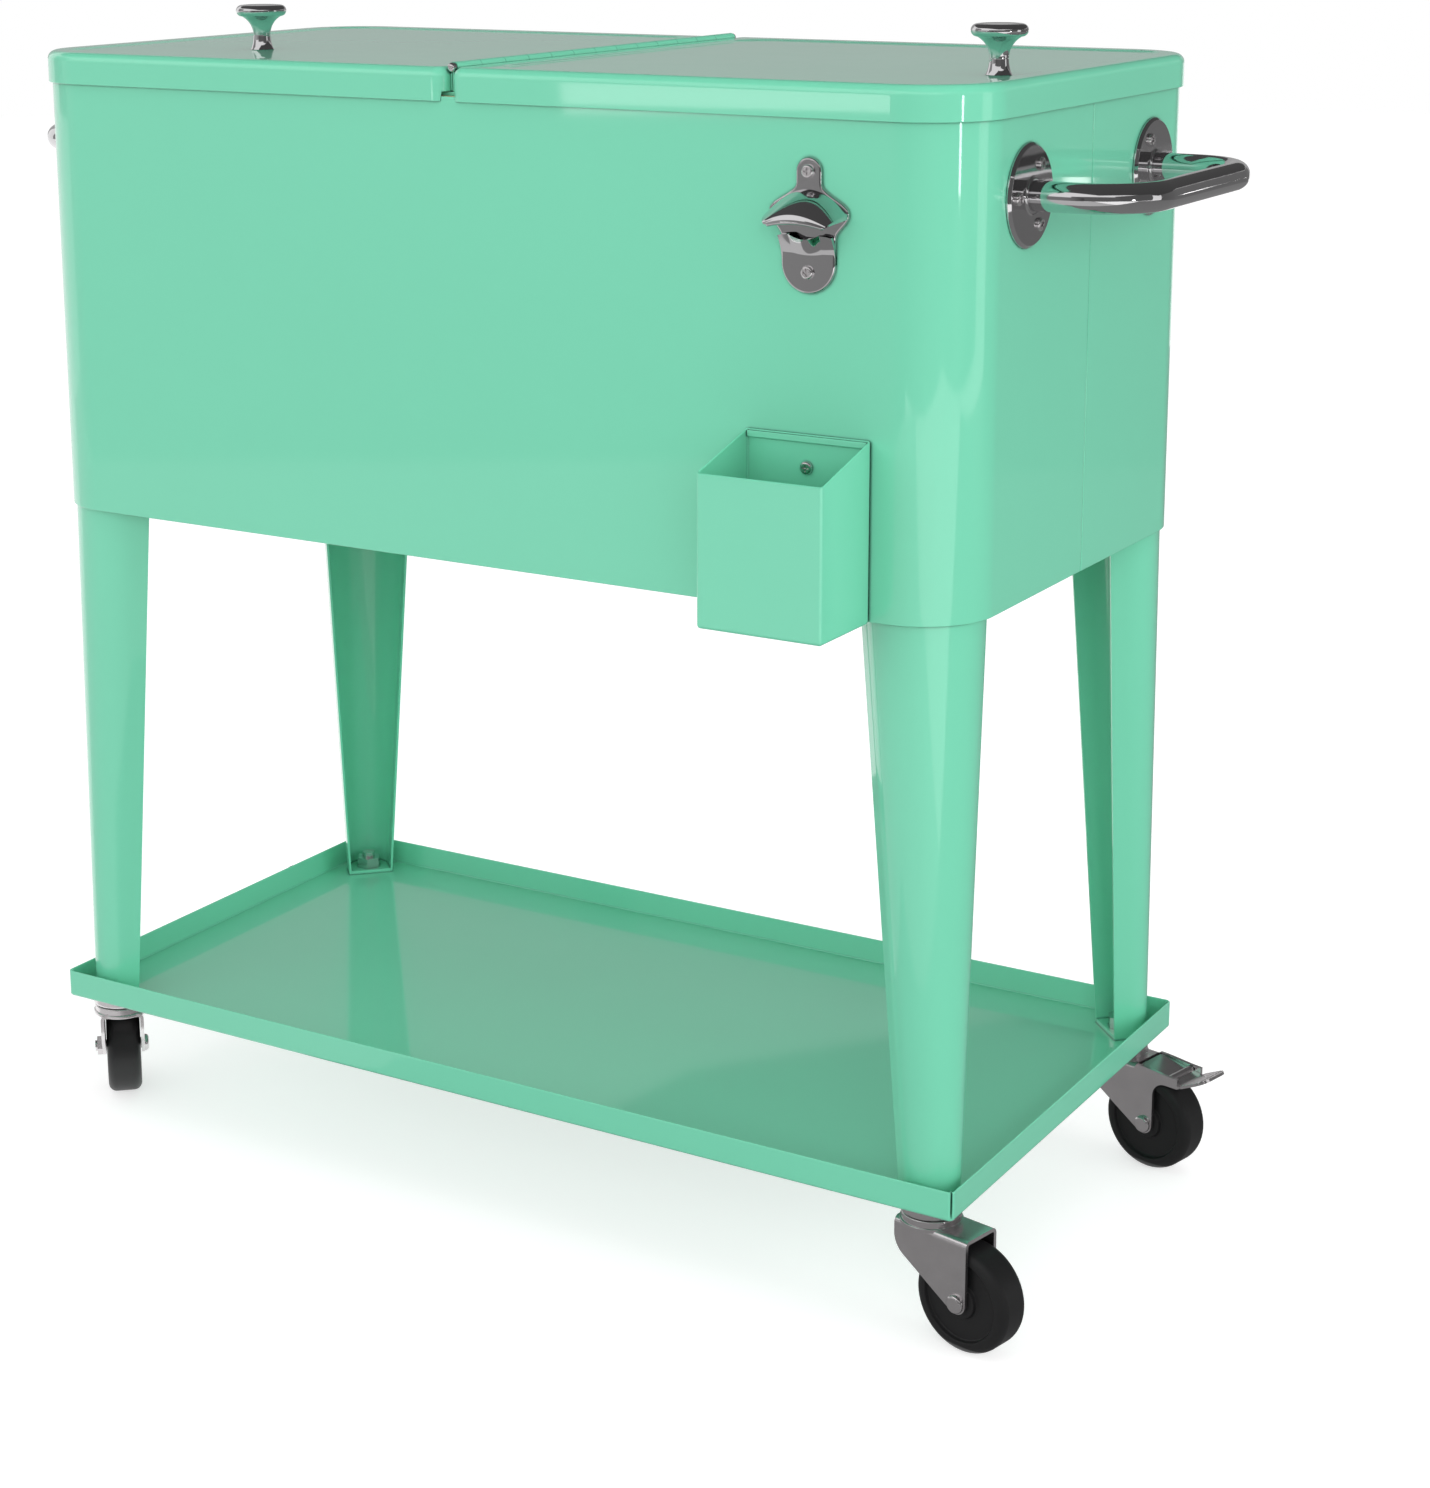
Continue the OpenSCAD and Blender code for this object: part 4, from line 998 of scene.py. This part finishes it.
@dataclass
class Caster:
    """Swivel caster: race and pressed fork, wheel and, at the rear, a brake pedal.

    Its own axes are u along the trail, v across and z up, with the swivel at u = v = 0.
    """

    materials: Materials
    name: str
    heading: float
    braked: bool
    trail: float = 31.5
    sheet_t: float = 2.5
    fork_in: float = 13.0
    axle_end_r: float = 7.0
    front: float = 17.0
    nose_r: float = 16.0
    nose_drop: float = 8.0
    race_bore: float = 5.05
    cup_r: float = 20.0
    cup_clear: float = 4.0
    bend_r: float = 4.0
    lobe_r: float = 10.0
    lobe_drop: float = 6.5
    tail: float = 27.0
    crown_z: float = 74.5
    wheel_r: float = 34.5
    wheel_w: float = 24.5
    wheel_bore: float = 4.05
    hub_r: float = 10.4
    shoulder_r: float = 6.0
    tilt: float = 10.0
    rise: float = 25.0
    toe: float = 21.0
    toe_round: float = 8.0
    heel: float = 24.5
    pin_u: float = 19.0
    pin_drop: float = 3.0
    rib_pitch: float = 3.0
    rib_h: float = 0.35
    side_gap: float = 0.3
    boss_gap: float = 0.9

    def place(self, p: Array) -> Array:
        """Turns a point to the caster's heading and carries it to its stem."""
        lo, hi = box_mm(self.name + "_caster_stem")
        return turned("Z", self.heading)(p) + (lo + hi) / 2 * [1, 1, 0]

    def build(self) -> None:
        """Builds the fork, the wheel and the pedal."""
        self.fork()
        self.wheel()
        if self.braked:
            self.pedal()

    def touches(self) -> tuple[Array, Array]:
        """Points where the front edge's straight part leaves the nose's arc and meets the
        axle end's arc: both lie at the angle atan2(d) - acos((R - r) / |d|), d being the way
        from the nose's centre to the axle."""
        nose = np.array([self.nose_r - self.front, self.crown_z - self.nose_drop])
        axle = np.array([self.trail, self.wheel_r])
        d = axle - nose
        face = math.atan2(d[1], d[0]) - math.acos(
            (self.nose_r - self.axle_end_r) / float(np.linalg.norm(d)))
        out = np.array([math.cos(face), math.sin(face)])
        return nose + self.nose_r * out, axle + self.axle_end_r * out

    def low_edge(self, u: Array) -> Array:
        """Lower edge of a cheek: the nose's arc, a slope, the axle end's arc, the lobe."""

        def half_disc(r: float, centre: float) -> Array:
            """Height of a half circle over its middle."""
            return np.sqrt(np.maximum(r * r - (u - centre) ** 2, 0.0))

        (nu, nz), (au, az) = self.touches()
        r, flat = self.lobe_r, self.crown_z - self.lobe_drop
        nose = self.crown_z - self.nose_drop - half_disc(self.nose_r, self.nose_r - self.front)
        line = nz + (u - nu) * (az - nz) / (au - nu)
        axle = self.wheel_r - half_disc(self.axle_end_r, self.trail)
        low = np.where(u < nu, nose, np.where(u < au, line, axle))
        tail = self.trail + self.axle_end_r
        lobe = np.where(u > tail + r, flat, flat - r + half_disc(r, tail + r))
        return np.where(u > tail + 1e-6, lobe, low)

    def stations(self, u1: float) -> Array:
        """Places along the trail, close together round the nose, the axle and the lobe."""
        a, r, big, k = self.trail, self.axle_end_r, self.nose_r, self.lobe_r
        parts = [big - self.front - big * np.cos(np.linspace(0, 1.0, 13)),
                 np.linspace(-6.0, a - r, 16), a - r * np.cos(np.linspace(0, np.pi, 25))]
        if u1 > a + r + 1:
            parts += [a + r + 2e-3 + k * (1 - np.cos(np.linspace(0, np.pi / 2, 9))),
                      np.linspace(a + r + k + 0.5, u1, 6)]
        u = np.unique(np.concatenate(parts))
        return u[u <= u1 + 1e-9]

    def fork(self) -> None:
        """Two cheeks and a crown bent from one sheet, with the race pressed up round the
        stem. The sheet's section is a straight leg, a quarter bend and a flat half."""
        t, out_v, top = self.sheet_t, self.fork_in + self.sheet_t, self.crown_z + self.sheet_t
        tail = self.trail + (self.tail if self.braked else self.axle_end_r)
        cup, bend = self.cup_r + self.cup_clear, self.bend_r
        bridge = cup if self.braked else tail
        u = self.stations(tail)
        fall = t - 0.5 if self.braked else 0.0
        high = top - fall * smooth(np.clip((u - cup) / max(tail - cup, 1), 0, 1))
        high = (high - np.where(u <= bridge, bend, 0.0))[:, None]
        low = self.low_edge(u)[:, None]
        z = low + (high - low) * np.linspace(0, 1, 9)
        shell = Shell()
        for s in (-1, 1):
            shell.sheet(*(grid_of(u[:, None], s * v, z) for v in (out_v, self.fork_in)))
        bridge_u = np.linspace(-self.front, bridge, 12)[:, None]

        def crown(inset: float) -> Array:
            """The crown's section, this far inside the sheet's outer face."""
            line = mirrored(join(arc(out_v - bend, top - bend, bend - inset, 0, 90, 7),
                                 [[0, top - inset]]), [-1, 1])
            return grid_of(bridge_u, line[:, 0], line[:, 1])

        shell.sheet(crown(0.0), crown(t))
        c, r, bore = self.crown_z, self.cup_r, self.race_bore
        race = join([[bore, c]], arc(r - 0.6, c + 0.6, 0.6, -90, 0, 3),
                    arc(r - 0.5, c + 2.0, 0.5, 0, 90, 3), [[r - 1, c + 2.6]],
                    arc(r - 1.8, c + 6.2, 0.8, 0, 90, 4),
                    [[r - 5, c + 7.0], [r - 5, c + 3.5], [bore, c + 3.5]])
        shell.add(revolve(race, 64, bored=True)).moved(self.place).piece(
            self.name + "_caster_yoke", self.name + "_swivel", "bright_steel",
            self.materials, [self.name + "_fork"], soften=0.35)

    def wheel(self) -> None:
        """Turned wheel: rounded tread, a dished web with a ring groove and a bored hub."""
        r, w, hub, q = self.wheel_r, self.wheel_w / 2, self.hub_r, self.shoulder_r
        side = join([[self.wheel_bore, w], [hub, w]], arc(hub, w - 0.6, 0.6, 90, 10, 4),
                    arc(hub + 2.0, w - 1.6, 1.0, 200, 270, 4), [[r - 9.9, w - 2.6]],
                    arc(r - 9.7, w - 1.4, 1.2, 280, 350, 4),
                    arc(r - 7.3, w - 0.8, 0.8, 170, 90, 5),
                    [[r - q, w]], arc(r - q, w - q, q, 88, 4, 14))
        revolve(mirrored(side, [1, -1]), 96, bored=True).moved(
            turned("X", 90), shifted(self.trail, 0, r), self.place).piece(
            self.name + "_tyre_and_hub", self.name + "_roller", "wheel_black",
            self.materials, [self.name + "_wheel"], sharp=40)

    def pedal(self) -> None:
        """Brake pedal: a tilted plate between the cheeks that ends in a wide round-cornered
        toe turned upwards, with cross ribs, a pin and a shoe."""
        pivot = np.array([self.trail + self.pin_u, 0.0, self.crown_z - self.pin_drop])
        lever = self.plate()
        far = self.fork_in + self.sheet_t - self.side_gap
        near = self.fork_in - self.boss_gap
        pin = revolve(join([[0, -far]], arc(1.2, 1 - far, 0.8, -80, 0, 4),
                           arc(1.2, far - 1, 0.8, 0, 80, 4), [[0, far]]), 32)
        boss = revolve(np.array([[2.0, -near], [3.2, -near], [3.2, near], [2.0, near]]), 40,
                       bored=True)
        length = math.hypot(self.pin_u, pivot[2] - self.wheel_r) - self.wheel_r + 0.3
        shoe = Plan((2.5, -6.0), (4.5, 6.0), 0.6, 4)
        block = Shell().rings([shoe.level(0.2, -length), shoe.level(0, 0.3 - length),
                               shoe.level(0, -0.4)])
        lever.add(pin.moved(turned("X", 90)), boss.moved(turned("X", 90)),
                  block.moved(turned("Y", self.tilt)))
        lever.moved(shifted(*pivot), self.place).piece(
            self.name + "_brake_lever", self.name + "_pedal", "bright_steel",
            self.materials, [self.name + "_brake_pedal"], sharp=40)

    def plate(self) -> Shell:
        """The pedal's plate about its pin, from its heel along s to its toe.

        The middle line turns from the tilt to the rise at the knee, where the half width
        grows to the fork's; the toe is rounded off as a quarter circle. Ribs are the upper
        halves of a sine wave.
        """
        tilt, lip = math.radians(self.tilt), math.radians(self.rise)
        start, knee = -self.heel, self.tail + 2.4 - self.pin_u - self.side_gap
        end = knee + self.toe - 0.2
        s = np.r_[np.linspace(start, knee - 1.8, 18), np.linspace(knee - 1.4, end, 44)]
        turn = tilt - (lip + tilt) * smooth(np.clip((s - knee + 1.4) / 2.8, 0, 1))
        ds, none = np.diff(s, prepend=s[0]), np.zeros_like(s)
        middle = np.column_stack([start * math.cos(tilt) + np.cumsum(ds * np.cos(turn)), none,
                                  -start * math.sin(tilt) - np.cumsum(ds * np.sin(turn))])
        up = np.column_stack([np.sin(turn), none, np.cos(turn)])
        wide = np.clip((s - knee + 0.3) / 0.8, 0, 1)
        over = np.clip((s - end) / self.toe_round + 1, 0, 1)
        half = self.fork_in - self.side_gap + (self.sheet_t + self.side_gap) * wide
        half -= self.toe_round * (1 - np.sqrt(np.maximum(1 - over ** 2, 0.0)))
        half -= 1.5 * (1 - np.clip((s - start) / 2.0, 0, 1)) ** 2
        share = np.linspace(-1, 1, 21)
        v = np.sin(share * np.pi / 2) * half[:, None]
        lines = np.maximum(np.sin((s - knee - 2.0) * 2 * np.pi / self.rib_pitch), 0)
        ribs = self.rib_h * lines * (s > knee + 2.0) * (s < end - 3.0)
        across = v[..., None] * [0.0, 1.0, 0.0]
        inside = (1 - np.abs(share) ** 8)[None, :, None]
        outer = (middle + up)[:, None] + across + (up * ribs[:, None])[:, None] * inside
        return Shell().sheet(outer, (middle - up)[:, None] + across)


# ---------------------------------------------------------------- studio


@dataclass
class Studio:
    """Pale floor, soft lamps, cards that only reflections see, and the camera.

    The world's light is stronger at the horizon than at the zenith.
    """

    middle: Point = (0.0, 0.0289, 0.41)
    horizon: float = 1.58
    zenith: float = 0.3
    floor_r: float = 9.0
    floor_base: float = 0.62
    floor_glow: float = 0.6

    def build(self) -> None:
        """Builds everything round the cooler."""
        self.world()
        self.floor()
        self.lamps()
        self.cards()
        self.camera()

    def world(self) -> None:
        """White behind the object for what looks straight at it, and for the rest a light
        that changes from the horizon to the zenith."""
        world = bpy.data.worlds.new("studio")
        world.use_nodes = True
        bpy.context.scene.world = world
        g = Graph(world.node_tree)
        split = g.add("SeparateXYZ", {0: g.add("TexCoord", {}).outputs["Generated"]})
        level = g.remap(split.outputs["Z"], to_min=self.horizon, to_max=self.zenith)
        g.feed(world.node_tree.nodes["Background"], {
            "Color": WHITE, "Strength": g.remap(g.seen(), to_min=level, to_max=1.0)})

    def backdrop(self, name: str, points: Array, glow: Callable[[Graph], Socket],
                 feeds: dict[str, Any]) -> bpy.types.Object:
        """A flat face of the studio that gives off white light.

        Args:
            name: name of the object.
            points: its outline in metres.
            glow: makes the strength of its light.
            feeds: further inputs of its shader.

        Returns:
            The object.
        """
        mesh = bpy.data.meshes.new(name)
        mesh.from_pydata(points.tolist(), [], [list(range(len(points)))])
        mat, g, shader = new_material(name)
        g.feed(shader, {"Specular IOR Level": 0.0, "Emission Color": WHITE,
                        "Emission Strength": glow(g), **feeds})
        mesh.materials.append(mat)
        obj = linked(name, mesh)
        return obj

    def floor(self) -> None:
        """A wide pale disc: plain diffuse with a little white added where it is looked at."""
        grey = (self.floor_base,) * 3 + (1.0,)
        rim = arc(0, 0, self.floor_r, 0, 360, 96)[:-1]
        self.backdrop("studio_floor", np.column_stack([rim, np.zeros(96)]),
                      lambda g: g.math("MULTIPLY", g.seen(), self.floor_glow),
                      {"Base Color": grey, "Roughness": 0.9})

    def lamp(self, name: str, place: Point, size: tuple[float, float], power: float) -> None:
        """One rectangular lamp that faces the middle of the cooler."""
        light = bpy.data.lights.new(name, "AREA")
        light.shape = "RECTANGLE"
        light.size, light.size_y = size
        light.energy = power
        obj = linked(name, light)
        obj.location = place
        way = Vector(self.middle) - Vector(place)
        obj.rotation_euler = way.to_track_quat("-Z", "Y").to_euler()
        obj.visible_glossy = False

    def lamps(self) -> None:
        """A wide lamp overhead, one at the front left, a fill light and one at the right."""
        self.lamp("top_light", (0.2, -0.6, 3.2), (2.6, 1.6), 16.0)
        self.lamp("front_light", (-1.2, -3.4, 1.6), (2.4, 1.8), 7.0)
        self.lamp("fill_light", (1.9, -3.3, 1.8), (2.2, 1.6), 28.0)
        self.lamp("right_light", (3.6, 0.2, 1.5), (1.8, 1.6), 28.0)

    def card(self, name: str, place: Point, size: tuple[float, float],
             shade: tuple[float, float], level: bool = False) -> None:
        """A card, seen by reflections alone, that lies level or faces the middle.

        Args:
            name: name of the card.
            place: its centre in metres.
            size: its width and height in metres.
            shade: brightness at its low and at its high end along X, with an even ramp.
            level: it lies level.
        """
        way = Vector(self.middle) - Vector(place)
        turn = Quaternion() if level else way.to_track_quat("Z", "Y")
        corners = np.array([Vector(place) + turn @ Vector((u * size[0] / 2, v * size[1] / 2, 0))
                            for u, v in ((-1, -1), (1, -1), (1, 1), (-1, 1))])

        def ramp(g: Graph) -> Socket:
            """Brightness by the place along X."""
            split = g.add("SeparateXYZ", {0: g.add("TexCoord", {}).outputs["Object"]})
            return g.remap(split.outputs["X"], from_min=min(corners[:, 0]),
                           from_max=max(corners[:, 0]), to_min=shade[0], to_max=shade[1])

        obj = self.backdrop(name, corners, ramp, {"Base Color": BLACK})
        obj.visible_camera = obj.visible_diffuse = obj.visible_shadow = False
        obj.visible_transmission = obj.visible_volume_scatter = False

    def cards(self) -> None:
        """Grey behind for the level lids, dark grey round about and pale ground for paint and
        chrome, and small bright strips that draw lines on the lid's skirt, on the tub's
        corner and along the handle."""
        self.card("rear_card", (-2.2, 5.0, 1.9), (9.0, 3.0), (0.42, 0.42))
        self.card("ceiling_card", (0.3, 0.6, 3.0), (9.0, 9.0), (0.1, 0.06))
        self.card("left_card", (-4.5, -1.5, 1.6), (3.0, 2.6), (0.3, 0.3))
        self.card("front_card", (-1.35, -2.3, 0.42), (3.8, 1.5), (0.62, 0.06))
        self.card("fill_card", (1.2, -3.05, 0.7), (4.6, 2.2), (0.14, 0.14))
        self.card("right_card", (3.4, -1.0, 0.9), (3.4, 2.6), (0.12, 0.12))
        self.card("rear_right_card", (1.6, 2.1, 0.5), (3.0, 1.6), (0.2, 0.12))
        self.card("front_ground", (-1.1, -1.7, 0.004), (4.4, 3.0), (0.75, 0.6), level=True)
        self.card("right_ground", (1.6, 1.5, 0.005), (3.6, 4.4), (0.25, 0.2), level=True)
        self.card("skirt_strip", (-0.853, -2.0, 0.6), (0.46, 0.06), (2.8, 2.8))
        self.card("corner_strip", (2.72, -0.92, 0.53), (0.14, 0.2), (12.0, 12.0))
        self.card("handle_strip", (1.16, 1.9, 0.5), (0.035, 0.05), (4.0, 4.0))
        self.card("handle_spot", (1.03, 1.92, 0.5), (0.02, 0.05), (4.0, 4.0))

    def camera(self) -> None:
        """Places the camera from its bearing, height and distance."""
        data = bpy.data.cameras.new("camera")
        obj = linked("camera", data)
        azimuth, drop, roll = math.radians(31.48), math.radians(13.09), math.radians(-0.3)
        ahead = Vector((-math.sin(azimuth) * math.cos(drop),
                        math.cos(azimuth) * math.cos(drop), -math.sin(drop)))
        obj.location = (1.0461, -1.6213, 0.8947)
        look = ahead.to_track_quat("-Z", "Y") @ Quaternion((0, 0, 1), roll)
        obj.rotation_euler = look.to_euler()
        data.lens, data.sensor_width = 70.04, 36.0
        data.shift_x, data.shift_y = 0.0433, -0.1401
        bpy.context.scene.camera = obj


def main() -> None:
    """Builds the finishes, the sub-assemblies in order, and the studio."""
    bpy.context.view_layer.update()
    materials = {finish.slot: finish.build() for finish in FINISHES}
    dress_nodes(materials)
    PaintedTub(materials).build()
    for side in ENDS:
        HalfLid(materials, side).build()
        LidKnob(materials, side).build()
        EndHandle(materials, side).build()
    BottleOpener(materials).build()
    CapCatcher(materials).build()
    Shelf(materials).build()
    corners = {"front_left": ((-1, -1), 132.0), "front_right": ((1, -1), -12.0),
               "rear_left": ((-1, 1), 188.0), "rear_right": ((1, 1), -13.0)}
    for name, (corner, heading) in corners.items():
        Leg(materials, name, corner).build()
        Caster(materials, name, heading, name.startswith("rear")).build()
    Studio().build()
    bpy.context.scene.view_settings.view_transform = "Standard"


if __name__ == "__main__":
    main()
